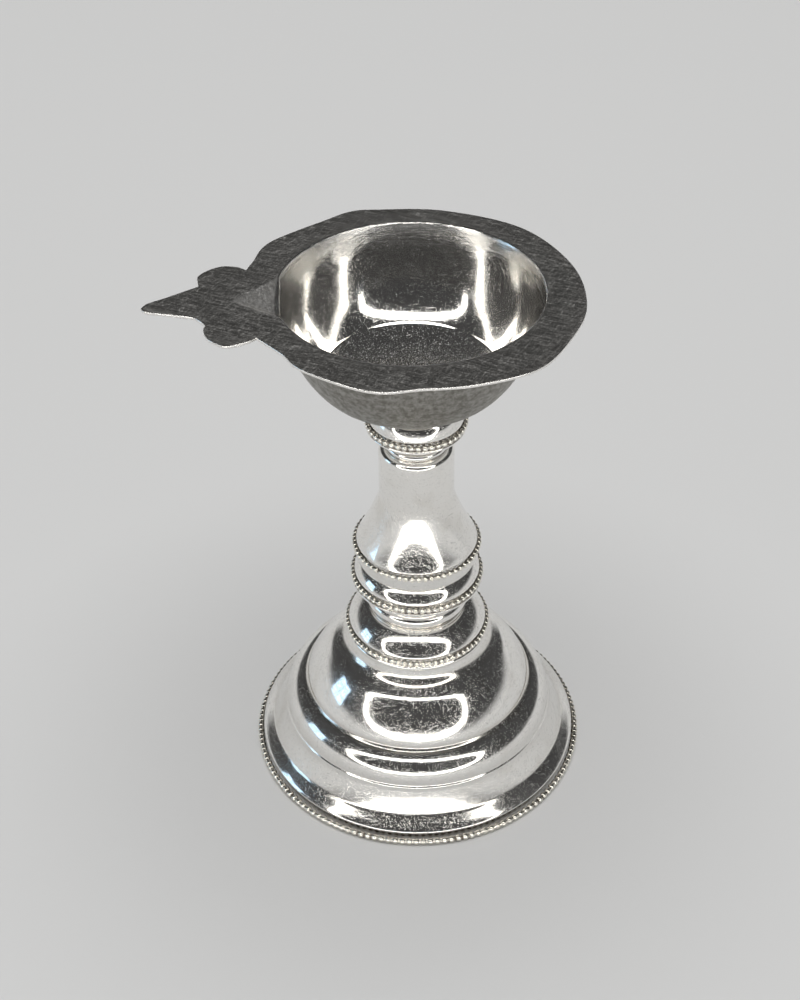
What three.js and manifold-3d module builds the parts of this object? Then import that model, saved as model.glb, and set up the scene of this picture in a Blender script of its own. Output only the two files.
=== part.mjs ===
// Standing oil lamp (diya): a lamp bowl with a spout, screwed on a stem of beaded discs and a bell foot.
// Millimetres, +Z up. The origin lies on the table, under the middle of the lamp's outline in plan.
// The spout and its finger tab point along -X, and the stem stands on a vertical axis at x = stemX.

import * as THREE from "three";
import { mergeVertices } from "three/addons/utils/BufferGeometryUtils.js";
import { ConvexGeometry } from "three/addons/geometries/ConvexGeometry.js";
import Module from "manifold-3d";

const wasm = await Module();
wasm.setup();

// Clearances and sheet thicknesses
const pieceGap = 0.3;
const beadGap = 0.15;
const footSheet = 0.6;
const stemSheet = 0.5;
const bowlSheet = 0.5;
const flangeSheet = 0.5;

// Foot: one spun sheet, open below, with beaded wire round its edge
const footBeadRadius = 0.65;
const footBeadPitch = 1.24;
const footRadius = 30;
const hemHeight = 1.6;
const skirtOverhang = 0.4;
const skirtUndercut = 0.5;
const skirtHeight = 3.5;
const skirtWidth = 2.9;
const skirtCoveHeight = 3.1;
const skirtCoveWidth = 1.6;
const stepCrease = 0.3;
const stepHeight = 4.7;
const stepWidth = 3.5;
const domeCrease = 0.5;
const domeHeight = 7.7;
const footCoveHeight = 3.5;
const footCoveWidth = 2.6;
const footNeckRadius = 12;

// Beaded wire of the stem's discs
const beadRadius = 0.55;
const beadPitch = 1.1;
const beadNarrowing = 0.62;

// Knop: the lowest and widest disc of the stem
const knopBeadInset = 0.25;
const knopBaseRadius = 12.6;
const knopBaseThickness = 1.1;
const knopHeight = 4.95;
const knopDeckRadius = 8.3;

// Each dome's edge stands out over its beading and turns back under itself to a short upright edge
const lipClearance = 0.2;
const lipOverhang = 0.5;
const lipUndercut = 0.45;

// Half-round ring between the knop and the middle disc
const spacerRadius = 8.9;
const spacerHeight = 2.6;

// Middle disc: a dome over a dish
const middleBeadCircle = 11.1;
const middleDishFloorRadius = 7.2;
const middleDishHeight = 3.65;
const middleHeight = 4;
const middleDeckRadius = 8.6;
const middleLipWidth = 2;

// Bell and neck
const bellBeadOverhang = 0.35;
const bellPanRadius = 10.3;
const bellPanHeight = 2.7;
const bellPanCorner = 0.8;
const neckRadius = 6.3;
const neckHeight = 20.9;
const flareHeight = 11.2;
const neckShoulder = 1.3;

// Half-round ring, ferrule and collar above the neck
const neckRingRadius = 5.3;
const neckRingHeight = 1.2;
const ferruleRadius = 4.6;
const ferruleHeight = 2.55;
const collarBaseRadius = 8.2;
const collarBaseThickness = 0.6;
const collarBeadInset = 0.15;
const collarHeight = 3.95;
const collarDeckRadius = 6.3;

// Lamp bowl
const mouthRadius = 21.1;
const dishDepth = 18.5;
const dishBendRadius = 14.8;
const dishBendHeight = 3.45;
const lipWidth = 0.5;
const lipDepth = 0.8;
const dishShift = [-0.7, 0.4];
const flangeWidth = 5.2;
const tabLength = 15.6;
const tabHalfWidth = 11.4;
const spoutReach = 7.5;
const spoutHalfWidth = 6.35;
const spoutDepth = 3.2;
const spoutShift = 0.5;
const spoutLip = 0.4;
const cutAbove = 1;
const bowlRingRadius = 7.4;
const bowlRingWall = 2;
const bowlRingHeight = 1.7;
const bowlRingChamfer = 0.3;
const bowlRingBelly = [0.6, 1.4];

// Shim, tie tube, nuts and stud inside
const washerRadius = 6.2;
const washerThickness = 0.4;
const tieTubeRadius = 3;
const tieTubeStandOut = 1.3;
const tieTubeEnd = 1.5;
const topNutRadius = 4.2;
const topNutThickness = 1;
const studRadius = 2;
const studReach = 4.7;
const studChamfer = 0.4;
const studFlangeRadius = 3.5;
const studFlangeThickness = 0.4;
const cupWasherMargin = 3.8;
const cupWasherThickness = 0.8;
const washerChamfer = 0.4;
const cupWasherRim = 0.6;
const springWasherRadius = 5.3;
const springWasherThickness = 1;
const springWasherSlit = 0.3;
const bottomNutFlats = 10;
const bottomNutThickness = 5;

// How a curve bends: its control point, as shares of the way from its start to its end, across and up
const cornerBend = [1, 0];
const hollowBend = [0.15, 0.88];
const footCoveBend = [0.01, 0.63];
const footDomeBend = [0.8, 0.43];
const discDomeBend = [0.55, 0.1];
const stepBend = [0.9, 0.21];
const skirtCoveBend = [0.03, 0.59];
const skirtBend = [0.69, 0.48];
const flareBend = [0.06, 0.5];
const dishFloorBend = [0.78, 0];
const dishWallBend = [0.73, 0.32];
const lipBend = [0, 0.75];

// Facets round a turn
const footSegments = 36;
const bowlSegments = 36;
const stemSegments = 28;
const coreSegments = 20;
const footBeadSides = 4;
const stemBeadSides = 3;

// Heights of the stack, from the table up
const tieHole = tieTubeRadius + pieceGap;
const lipRise = beadGap + 2 * beadRadius + lipClearance;
const skirtEdge = hemHeight + skirtUndercut;
const skirtTop = skirtEdge + skirtHeight;
const stepBase = skirtTop + skirtCoveHeight + stepCrease;
const domeBase = stepBase + stepHeight + domeCrease;
const footHeight = domeBase + domeHeight + footCoveHeight;
const knopBaseTop = footHeight + knopBaseThickness;
const knopTop = knopBaseTop + knopHeight;
const spacerTop = knopTop + spacerHeight;
const middleDishTop = spacerTop + middleDishHeight;
const middleTop = middleDishTop + middleHeight;
const bellPanTop = middleTop + bellPanHeight;
const neckTop = bellPanTop + neckHeight;
const neckRingTop = neckTop + neckRingHeight;
const ferruleTop = neckRingTop + ferruleHeight;
const collarBaseTop = ferruleTop + collarBaseThickness;
const collarTop = collarBaseTop + collarHeight;
const washerTop = collarTop + washerThickness;
const dishBottom = washerTop + bowlRingHeight;
const rimTop = dishBottom + bowlSheet + dishDepth;
const tieTubeTop = collarTop + tieTubeStandOut;
const cupWasherTop = footHeight - footSheet;
const springWasherTop = cupWasherTop - cupWasherThickness;
const bottomNutTop = springWasherTop - springWasherThickness;
const tieTubeBottom = bottomNutTop - bottomNutThickness - tieTubeEnd;

// Plan sizes that follow
const flangeRadius = mouthRadius + flangeWidth;
const hemRadius = footRadius - 2 * footBeadRadius - pieceGap;
const stemX = (flangeRadius + tabLength - footRadius) / 2;
const knopBeadCircle = knopBaseRadius - knopBeadInset;
const bellBeadCircle = bellPanRadius + bellBeadOverhang;
const collarBeadCircle = collarBaseRadius - collarBeadInset;

// The flange is cut by hand: how far its edge strays from the round, in mm, at angles from +X
const flangeStray = [
  [-145, -0.3], [-133, 0.6], [-110, 1.4], [-94, 0.1], [-77, 0.5], [-57, 1.5], [-38, 0.4], [-16, 0],
  [11, -0.6], [42, -0.5], [73, -0.8], [98, -0.1], [107, 0.7], [117, 0.2], [141, 1.5], [155, 0.9],
];

// The finger tab's outline: shares of its length from the flange's edge, and of its half width
const tabUpperNotch = [-0.04, 0.81];
const tabUpperLobe = [[0.03, 0.89], [0.11, 0.93], [0.22, 0.94], [0.36, 0.84], [0.44, 0.72], [0.45, 0.61]];
const tabUpperWaist = [0.44, 0.45];
const tabUpperSide = [[0.64, 0.3], [0.79, 0.19], [0.94, 0.09]];
const tabPoint = [1, -0.02];
const tabLowerSide = [[0.95, -0.12], [0.73, -0.22], [0.51, -0.32], [0.42, -0.44]];
const tabLowerWaist = [0.38, -0.54];
const tabLowerLobe = [[0.4, -0.62], [0.39, -0.75], [0.35, -0.88], [0.27, -0.99], [0.18, -1.06], [0, -0.99]];
const tabLowerNotch = [-0.1, -0.9];

const polished = { color: 0xdcdad5, roughness: 0.12, metalness: 1 };
const satin = { color: 0x9d9c99, roughness: 0.38, metalness: 1 };
const beaded = { color: 0xd9d2bd, roughness: 0.25, metalness: 1 };
const plainMetal = { color: 0xb59a5b, roughness: 0.4, metalness: 1 };
const steel = { color: 0x8f9296, roughness: 0.35, metalness: 1 };

const stem = new THREE.Group();
stem.position.x = stemX;
const bowl = new THREE.Group();
bowl.position.x = stemX;
const lamp = new THREE.Group();
lamp.add(stem, bowl);

function addPiece(parent, name, geometry, finish) {
  const mesh = new THREE.Mesh(geometry, new THREE.MeshStandardMaterial(finish));
  mesh.name = name;
  parent.add(mesh);
  return mesh;
}

// Turns a closed profile, or one that starts and ends on the axis, round the Z axis.
function turn(profile, segments) {
  const ordered = THREE.ShapeUtils.area(profile) > 0 ? profile : [...profile].reverse();
  const onAxis = ordered[0].x === 0 && ordered[ordered.length - 1].x === 0;
  const points = onAxis ? ordered : [...ordered, ordered[0].clone()];
  return new THREE.LatheGeometry(points, segments).rotateX(Math.PI / 2);
}

// The points of a path, without the doubled ones where two of its curves meet.
function pathPoints(path, divisions) {
  return path.getPoints(divisions).filter((point, i, all) => i === 0 || point.distanceTo(all[i - 1]) > 1e-6);
}

// The profile of a sheet behind a path; side is 1 or -1, the side of the path the metal is on.
function sheetProfile(path, divisions, thickness, side) {
  const coarse = pathPoints(path, Math.ceil(divisions / 2));
  const behind = coarse.map((point, i) => {
    const before = coarse[Math.max(i - 1, 0)];
    const after = coarse[Math.min(i + 1, coarse.length - 1)];
    const arriving = (i === 0 ? after.clone().sub(point) : point.clone().sub(before)).normalize();
    const leaving = (i === coarse.length - 1 ? arriving.clone() : after.clone().sub(point)).normalize();
    const along = arriving.clone().add(leaving).normalize();
    const spread = (side * thickness) / along.dot(arriving);
    return new THREE.Vector2(point.x + along.y * spread, point.y - along.x * spread);
  });
  return [...pathPoints(path, divisions), ...behind.reverse()];
}

// A flat ring or disc with a hole for the tie tube and a half-round outer edge.
function halfRoundRing(outerRadius, bottom, top) {
  const edge = (top - bottom) / 2;
  const path = new THREE.Path();
  path.moveTo(tieHole, bottom);
  path.absarc(outerRadius - edge, bottom + edge, edge, -Math.PI / 2, Math.PI / 2, false);
  path.lineTo(tieHole, top);
  return turn(pathPoints(path, 2), stemSegments);
}

function cornerPoints(corners) {
  return corners.map(([x, y]) => new THREE.Vector2(x, y));
}

function plainRing(innerRadius, outerRadius, bottom, top, segments) {
  const corners = [[innerRadius, bottom], [outerRadius, bottom], [outerRadius, top], [innerRadius, top]];
  return turn(cornerPoints(corners), segments);
}

// Beaded wire: a ring whose section swells at each bead and narrows between two.
function beadedRing(circle, bead, pitch, height, sides) {
  const beads = Math.round((2 * Math.PI * circle) / pitch);
  const steps = 2 * beads;
  const positions = [];
  const indices = [];
  for (let step = 0; step < steps; step += 1) {
    const turnAngle = (2 * Math.PI * step) / steps;
    const size = step % 2 === 0 ? bead : bead * beadNarrowing;
    for (let side = 0; side < sides; side += 1) {
      const sideAngle = (2 * Math.PI * side) / sides;
      const radius = circle + size * Math.cos(sideAngle);
      const level = height + size * Math.sin(sideAngle);
      positions.push(radius * Math.cos(turnAngle), radius * Math.sin(turnAngle), level);
      const here = step * sides;
      const next = ((step + 1) % steps) * sides;
      const up = (side + 1) % sides;
      indices.push(here + side, next + side, next + up);
      indices.push(here + side, next + up, here + up);
    }
  }
  const geometry = new THREE.BufferGeometry();
  geometry.setAttribute("position", new THREE.Float32BufferAttribute(positions, 3));
  geometry.setIndex(indices);
  return geometry;
}

// The beading of one disc, seated just above the disc that carries it.
function discBeading(circle, carrierTop) {
  return beadedRing(circle, beadRadius, beadPitch, carrierTop + beadGap + beadRadius, stemBeadSides);
}

// The foot's beading stands on the table.
function footBeading() {
  const circle = footRadius - footBeadRadius;
  return beadedRing(circle, footBeadRadius, footBeadPitch, footBeadRadius, footBeadSides);
}

// Draws on to a point with a curve that bends as one of the named bends says.
function bendTo(path, x, y, [across, up]) {
  const start = path.currentPoint.clone();
  path.quadraticCurveTo(start.x + across * (x - start.x), start.y + up * (y - start.y), x, y);
}

// A dome's upright edge sits inside its beading, and its lip reaches out over the beads.
function bendToLip(path, beadCircle, bottom, bend) {
  const edge = beadCircle - beadRadius - beadGap;
  bendTo(path, edge + lipOverhang, bottom + lipRise, bend);
  path.lineTo(edge, bottom + lipRise - lipUndercut);
  path.lineTo(edge, bottom);
}

// A domed disc: a flat deck, a round shoulder and a lip.
function domedDisc(beadCircle, deckRadius, bottom, top) {
  const path = new THREE.Path();
  path.moveTo(tieHole, top);
  path.lineTo(deckRadius, top);
  bendToLip(path, beadCircle, bottom, discDomeBend);
  return turn(sheetProfile(path, 4, stemSheet, 1), stemSegments);
}

function footShell() {
  const skirtRadius = hemRadius + skirtOverhang;
  const skirtTopRadius = skirtRadius - skirtWidth;
  const stepRadius = skirtTopRadius - skirtCoveWidth - stepCrease;
  const domeRadius = stepRadius - stepWidth - domeCrease;
  const path = new THREE.Path();
  path.moveTo(tieHole, footHeight);
  path.lineTo(footNeckRadius, footHeight);
  bendTo(path, footNeckRadius + footCoveWidth, domeBase + domeHeight, footCoveBend);
  bendTo(path, domeRadius, domeBase, footDomeBend);
  path.lineTo(domeRadius + domeCrease, domeBase - domeCrease);
  bendTo(path, stepRadius, stepBase, stepBend);
  path.lineTo(stepRadius + stepCrease, stepBase - stepCrease);
  bendTo(path, skirtTopRadius, skirtTop, skirtCoveBend);
  bendTo(path, skirtRadius, skirtEdge, skirtBend);
  path.lineTo(hemRadius, hemHeight);
  path.lineTo(hemRadius, 0);
  return turn(sheetProfile(path, 3, footSheet, 1), footSegments);
}

// The dish under the middle dome, with a flat lip that carries the dome and its beading.
function middleDish() {
  const rim = middleBeadCircle + beadRadius / 2;
  const path = new THREE.Path();
  path.moveTo(tieHole, spacerTop);
  path.lineTo(middleDishFloorRadius, spacerTop);
  bendTo(path, rim, middleDishTop - stemSheet, hollowBend);
  path.lineTo(rim, middleDishTop);
  path.lineTo(rim - middleLipWidth, middleDishTop);
  return turn(sheetProfile(path, 4, stemSheet, -1), stemSegments);
}

function bellBasePan() {
  const path = new THREE.Path();
  path.moveTo(tieHole, middleTop);
  path.lineTo(bellPanRadius - bellPanCorner, middleTop);
  bendTo(path, bellPanRadius, middleTop + bellPanCorner, cornerBend);
  path.lineTo(bellPanRadius, bellPanTop);
  return turn(sheetProfile(path, 3, footSheet, -1), stemSegments);
}

function neckAndBell() {
  const path = new THREE.Path();
  path.moveTo(tieHole, neckTop);
  path.lineTo(neckRadius - neckShoulder, neckTop);
  bendTo(path, neckRadius, neckTop - neckShoulder, cornerBend);
  path.lineTo(neckRadius, bellPanTop + lipRise + flareHeight);
  bendToLip(path, bellBeadCircle, bellPanTop, flareBend);
  return turn(sheetProfile(path, 5, stemSheet, 1), stemSegments);
}

// A plain ring or tube on the stem's axis.
function stemTube(innerRadius, outerRadius, bottom, top) {
  return plainRing(innerRadius, outerRadius, bottom, top, coreSegments);
}

// The dish's side: a shallow floor that bends up into a steep wall, with the outside a wall away.
const dishWide = mouthRadius - lipWidth;
const dishFloor = dishBottom + bowlSheet;

function dishSide(wall, top) {
  const bendWall = wall * Math.SQRT1_2;
  const path = new THREE.Path();
  path.moveTo(0, dishFloor - wall);
  bendTo(path, dishBendRadius + bendWall, dishFloor + dishBendHeight - bendWall, dishFloorBend);
  bendTo(path, dishWide + wall, top, dishWallBend);
  return path;
}

function dishOutside() {
  return pathPoints(dishSide(bowlSheet, rimTop - flangeSheet / 2), 5);
}

function dishOutsideHeight(radius) {
  const side = dishOutside();
  const next = side.findIndex((point) => point.x > radius);
  return THREE.MathUtils.mapLinear(radius, side[next - 1].x, side[next].x, side[next - 1].y, side[next].y);
}

function dishBody() {
  return turn([...dishOutside(), new THREE.Vector2(0, rimTop - flangeSheet / 2)], bowlSegments);
}

function dishHollow() {
  const path = dishSide(0, rimTop - lipDepth);
  bendTo(path, mouthRadius, rimTop, lipBend);
  path.lineTo(mouthRadius, rimTop + cutAbove);
  path.lineTo(0, rimTop + cutAbove);
  return turn(pathPoints(path, 5), bowlSegments);
}

// The spout's channel slopes from its tip down to the dish; with a wall, this is the metal round it.
function spoutWedge(wall, top) {
  const tip = mouthRadius + spoutReach + wall;
  const side = spoutHalfWidth + wall;
  const lowest = rimTop - spoutDepth - wall;
  const insideDish = dishWide / 2;
  const corners = [];
  for (const height of [Math.min(top, rimTop), top]) {
    corners.push(new THREE.Vector3(-tip, spoutShift, height));
    for (const reach of [mouthRadius + spoutLip, insideDish]) {
      corners.push(new THREE.Vector3(-reach, spoutShift + side, height));
      corners.push(new THREE.Vector3(-reach, spoutShift - side, height));
    }
  }
  corners.push(new THREE.Vector3(-mouthRadius + spoutLip, spoutShift, lowest));
  corners.push(new THREE.Vector3(-insideDish, spoutShift, lowest));
  return new ConvexGeometry(corners);
}

function tabPlace([length, width]) {
  return new THREE.Vector2(-flangeRadius - length * tabLength, width * tabHalfWidth);
}

// The flat plate: the stray round edge, then two lobes with a pointed middle one between them.
function platePlan() {
  const plan = new THREE.Shape();
  const start = tabPlace(tabLowerNotch);
  plan.moveTo(start.x, start.y);
  const round = flangeStray.map(([degrees, stray]) => {
    const angle = THREE.MathUtils.degToRad(degrees);
    return new THREE.Vector2(Math.cos(angle), Math.sin(angle)).multiplyScalar(flangeRadius + stray);
  });
  plan.splineThru([...round, tabPlace(tabUpperNotch)]);
  plan.splineThru([...tabUpperLobe, tabUpperWaist].map(tabPlace));
  plan.splineThru([...tabUpperSide, tabPoint].map(tabPlace));
  plan.splineThru([...tabLowerSide, tabLowerWaist].map(tabPlace));
  plan.splineThru([...tabLowerLobe, tabLowerNotch].map(tabPlace));
  return plan;
}

function flangePlate() {
  const options = { depth: flangeSheet, bevelEnabled: false, curveSegments: 2 };
  return new THREE.ExtrudeGeometry(platePlan(), options).translate(0, 0, rimTop - flangeSheet);
}

function toSolid(geometry) {
  const bare = geometry.clone();
  bare.deleteAttribute("normal");
  bare.deleteAttribute("uv");
  const merged = mergeVertices(bare, 1e-4);
  const kept = [];
  const index = merged.index.array;
  for (let i = 0; i < index.length; i += 3) {
    const [a, b, c] = [index[i], index[i + 1], index[i + 2]];
    if (a !== b && b !== c && c !== a) kept.push(a, b, c);
  }
  const vertProperties = new Float32Array(merged.attributes.position.array);
  return new wasm.Manifold(new wasm.Mesh({ numProp: 3, vertProperties, triVerts: new Uint32Array(kept) }));
}

function toGeometry(solid) {
  const mesh = solid.getMesh();
  const geometry = new THREE.BufferGeometry();
  geometry.setAttribute("position", new THREE.BufferAttribute(mesh.vertProperties, 3));
  geometry.setIndex(new THREE.BufferAttribute(mesh.triVerts, 1));
  return geometry;
}

function lampBowl() {
  const [shiftX, shiftY] = dishShift;
  const body = toSolid(dishBody().translate(shiftX, shiftY, 0));
  const hollow = toSolid(dishHollow().translate(shiftX, shiftY, 0));
  const plate = toSolid(flangePlate());
  const spoutBody = toSolid(spoutWedge(bowlSheet, rimTop - flangeSheet / 2));
  const channel = toSolid(spoutWedge(0, rimTop + cutAbove));
  return toGeometry(plate.add(body).add(spoutBody).subtract(hollow).subtract(channel));
}

function bowlFootRing() {
  const inner = bowlRingRadius - bowlRingWall;
  const chamfered = bowlRingRadius - bowlRingChamfer;
  const [bellyBottom, bellyTop] = bowlRingBelly;
  const corners = [
    [inner, washerTop], [chamfered, washerTop],
    [bowlRingRadius, washerTop + bellyBottom], [bowlRingRadius, washerTop + bellyTop],
    [chamfered, dishOutsideHeight(chamfered) - pieceGap], [inner, dishOutsideHeight(inner) - pieceGap],
  ];
  return turn(cornerPoints(corners), stemSegments).translate(dishShift[0], dishShift[1], 0);
}

function bowlStud() {
  const top = dishBottom - beadGap;
  const underFlange = top - studFlangeThickness;
  const end = tieTubeTop - studReach;
  const corners = [
    [0, end], [studRadius - studChamfer, end], [studRadius, end + studChamfer],
    [studRadius, underFlange], [studFlangeRadius, underFlange], [studFlangeRadius, top], [0, top],
  ];
  return turn(cornerPoints(corners), coreSegments);
}

// A cup washer: a disc with its rim turned down.
function cupWasher() {
  const outer = footNeckRadius - footSheet - cupWasherMargin;
  const inside = outer - cupWasherThickness;
  const underside = cupWasherTop - cupWasherThickness;
  const corners = [
    [tieHole, cupWasherTop], [outer - washerChamfer, cupWasherTop], [outer, cupWasherTop - washerChamfer],
    [outer, underside - cupWasherRim], [inside, underside - cupWasherRim], [inside, underside],
    [tieHole, underside],
  ];
  return turn(cornerPoints(corners), coreSegments);
}

// A spring washer is a ring with one slit.
function springWasher() {
  const plan = new THREE.Shape();
  plan.absarc(0, 0, springWasherRadius, springWasherSlit / 2, 2 * Math.PI - springWasherSlit / 2, false);
  plan.absarc(0, 0, tieHole, 2 * Math.PI - springWasherSlit / 2, springWasherSlit / 2, true);
  const options = { depth: springWasherThickness, bevelEnabled: false, curveSegments: 12 };
  return new THREE.ExtrudeGeometry(plan, options).translate(0, 0, bottomNutTop);
}

function bottomNut() {
  const plan = new THREE.Shape();
  const cornerRadius = bottomNutFlats / Math.sqrt(3);
  for (let corner = 0; corner < 6; corner += 1) {
    const angle = (Math.PI / 3) * corner;
    const place = [cornerRadius * Math.cos(angle), cornerRadius * Math.sin(angle)];
    if (corner === 0) plan.moveTo(...place);
    else plan.lineTo(...place);
  }
  plan.closePath();
  const hole = new THREE.Path();
  hole.absarc(0, 0, tieHole, 0, 2 * Math.PI, true);
  plan.holes.push(hole);
  const options = { depth: bottomNutThickness, bevelEnabled: false, curveSegments: 12 };
  return new THREE.ExtrudeGeometry(plan, options).translate(0, 0, bottomNutTop - bottomNutThickness);
}

// Foot and stem, from the table up
addPiece(stem, "foot", footShell(), polished);
addPiece(stem, "foot_beading", footBeading(), beaded);

const knopDome = domedDisc(knopBeadCircle, knopDeckRadius, knopBaseTop, knopTop);
addPiece(stem, "knop_base_disc", halfRoundRing(knopBaseRadius, footHeight, knopBaseTop), polished);
addPiece(stem, "knop_beading", discBeading(knopBeadCircle, knopBaseTop), beaded);
addPiece(stem, "knop_dome", knopDome, polished);
addPiece(stem, "spacer_ring", halfRoundRing(spacerRadius, knopTop, spacerTop), polished);

const middleDome = domedDisc(middleBeadCircle, middleDeckRadius, middleDishTop, middleTop);
addPiece(stem, "middle_dish", middleDish(), polished);
addPiece(stem, "middle_beading", discBeading(middleBeadCircle, middleDishTop), beaded);
addPiece(stem, "middle_dome", middleDome, polished);

addPiece(stem, "bell_base_pan", bellBasePan(), polished);
addPiece(stem, "bell_beading", discBeading(bellBeadCircle, bellPanTop), beaded);
addPiece(stem, "neck_bell", neckAndBell(), polished);

const collarDome = domedDisc(collarBeadCircle, collarDeckRadius, collarBaseTop, collarTop);
addPiece(stem, "neck_ring", halfRoundRing(neckRingRadius, neckTop, neckRingTop), polished);
addPiece(stem, "collar_ferrule", stemTube(tieHole, ferruleRadius, neckRingTop, ferruleTop), polished);
addPiece(stem, "collar_base_disc", halfRoundRing(collarBaseRadius, ferruleTop, collarBaseTop), polished);
addPiece(stem, "collar_beading", discBeading(collarBeadCircle, collarBaseTop), beaded);
addPiece(stem, "collar_dome", collarDome, polished);

// The tie tube, its nuts and washers
const tieTubeBore = studRadius + pieceGap;
const topNutTop = collarTop + topNutThickness;
const washerHole = topNutRadius + pieceGap;
addPiece(stem, "tie_tube", stemTube(tieTubeBore, tieTubeRadius, tieTubeBottom, tieTubeTop), plainMetal);
addPiece(stem, "top_nut", stemTube(tieHole, topNutRadius, collarTop, topNutTop), plainMetal);
addPiece(stem, "cup_washer", cupWasher(), steel);
addPiece(stem, "spring_washer", springWasher(), steel);
addPiece(stem, "bottom_nut", bottomNut(), plainMetal);
addPiece(stem, "seat_washer", stemTube(washerHole, washerRadius, collarTop, washerTop), steel);

// The bowl and what turns and lifts with it
addPiece(bowl, "bowl_stud", bowlStud(), plainMetal);
addPiece(bowl, "bowl_foot_ring", bowlFootRing(), polished);
addPiece(bowl, "lamp_bowl", lampBowl(), satin);

export default lamp;
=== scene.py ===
"""Dresses the standing oil lamp in silver: spun shells, beaded wire, the hand-cut bowl and its fittings.

Every size in a class below is in millimetres, as on the lamp's own drawing, and MM turns it into metres
where a mesh is made. Heights and outer radii come from the frame's boxes wherever a piece has one.
"""

from __future__ import annotations

import logging
import math
from collections.abc import Callable, Iterable, Sequence
from dataclasses import dataclass
from enum import Enum

import bmesh
import bpy
import numpy as np
from mathutils import Matrix, Vector


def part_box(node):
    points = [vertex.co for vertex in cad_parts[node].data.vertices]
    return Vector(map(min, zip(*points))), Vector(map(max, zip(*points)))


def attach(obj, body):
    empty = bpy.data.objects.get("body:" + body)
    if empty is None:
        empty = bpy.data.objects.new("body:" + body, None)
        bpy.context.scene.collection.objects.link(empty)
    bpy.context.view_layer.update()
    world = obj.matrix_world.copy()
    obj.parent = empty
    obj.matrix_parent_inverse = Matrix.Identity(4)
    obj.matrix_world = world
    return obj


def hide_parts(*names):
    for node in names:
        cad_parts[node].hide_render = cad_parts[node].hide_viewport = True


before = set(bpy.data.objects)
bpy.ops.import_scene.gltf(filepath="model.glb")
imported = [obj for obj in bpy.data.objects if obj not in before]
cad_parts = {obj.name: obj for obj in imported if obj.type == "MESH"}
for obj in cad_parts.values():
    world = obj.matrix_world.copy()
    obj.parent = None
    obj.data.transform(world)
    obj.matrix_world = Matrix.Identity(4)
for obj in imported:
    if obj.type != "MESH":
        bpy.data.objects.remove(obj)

LOG = logging.getLogger("lamp")
MM = 0.001
Point = tuple[float, float]
Triple = tuple[float, float, float]


class Slot(Enum):
    """The record's material slots."""

    POLISHED = "polished_silver"
    SATIN = "satin_silver"
    BEADED = "beaded_silver"
    BRASS = "brass"
    STEEL = "steel"


class Body(Enum):
    """The frame's bodies."""

    STAND = "stand"
    STUD = "stud"
    BOWL = "bowl"


@dataclass(frozen=True)
class Span:
    """Where a node of the frame lies, in millimetres: its heights, outer radius and centre in plan."""

    bottom: float
    top: float
    radius: float
    centre: Point


def span_of(node: str) -> Span:
    """Measures one node of the frame.

    Args:
        node: The node's name.

    Returns:
        Its span, in millimetres.
    """
    low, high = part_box(node)
    centre = ((low.x + high.x) / 2 / MM, (low.y + high.y) / 2 / MM)
    return Span(low.z / MM, high.z / MM, (high.y - low.y) / 2 / MM, centre)


STEM = (span_of("foot").centre[0], 0.0)


class Profile:
    """The outline of a spun piece, as radius and height from its axis, in millimetres."""

    def __init__(self, radius: float, height: float) -> None:
        """Starts the outline at a point.

        Args:
            radius: The point's radius.
            height: Its height.
        """
        self.points: list[Point] = [(radius, height)]

    def line(self, radius: float, height: float) -> Profile:
        """Draws on to a point in a straight line.

        Args:
            radius: Where the line ends.
            height: Where the line ends.

        Returns:
            The profile itself.
        """
        self.points.append((radius, height))
        return self

    def bend(self, radius: float, height: float, across: float, up: float, steps: int = 24) -> Profile:
        """Draws on to a point in a curve.

        Args:
            radius: Where the curve ends.
            height: Where the curve ends.
            across: The control point, as a share of the way across.
            up: The control point, as a share of the way up.
            steps: How many points the curve has.

        Returns:
            The profile itself.
        """
        start_r, start_z = self.points[-1]
        control = (start_r + across * (radius - start_r), start_z + up * (height - start_z))
        for step in range(1, steps + 1):
            t = step / steps
            near, mid, far = (1 - t) ** 2, 2 * t * (1 - t), t * t
            self.points.append((near * start_r + mid * control[0] + far * radius,
                                near * start_z + mid * control[1] + far * height))
        return self

    def sweep(self, end: Point, slope: float, *stretches: Point) -> Profile:
        """Draws on to a point in one curve, made of stretches along which the slope changes evenly.

        Args:
            end: Where the curve ends.
            slope: The slope that it starts with, in degrees below level.
            stretches: The length of each stretch, and the slope at its end.

        Returns:
            The profile itself.
        """
        steps = 12
        line = [np.zeros(2)]
        for length, after in stretches:
            for step in range(steps):
                heading = math.radians(slope + (after - slope) * (step + 0.5) / steps)
                ahead = np.array([math.cos(heading), -math.sin(heading)])
                line.append(line[-1] + length / steps * ahead)
            slope = after
        start = np.array(self.points[-1])
        places = start + np.array(line[1:]) * (np.array(end) - start) / line[-1]
        self.points.extend((float(r), float(z)) for r, z in places)
        return self

    def half_circle(self, centre: Point, radius: float) -> Profile:
        """Draws the outer half of a circle, from its lowest point up to its highest.

        Args:
            centre: The circle's centre.
            radius: Its radius.

        Returns:
            The profile itself.
        """
        steps = 16
        for step in range(steps + 1):
            angle = math.radians(180 * step / steps - 90)
            self.points.append((centre[0] + radius * math.cos(angle), centre[1] + radius * math.sin(angle)))
        return self


def resample(points: np.ndarray, spacing: float) -> np.ndarray:
    """Spreads points evenly along a polyline, with its ends kept.

    Args:
        points: The polyline.
        spacing: About how far apart the new points are.

    Returns:
        The new points.
    """
    gaps = np.hypot(*np.diff(points, axis=0).T)
    along = np.concatenate([[0.0], np.cumsum(gaps)])
    places = np.linspace(0.0, along[-1], max(3, int(along[-1] / spacing) + 1))
    return np.column_stack([np.interp(places, along, points[:, i]) for i in range(2)])


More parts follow.
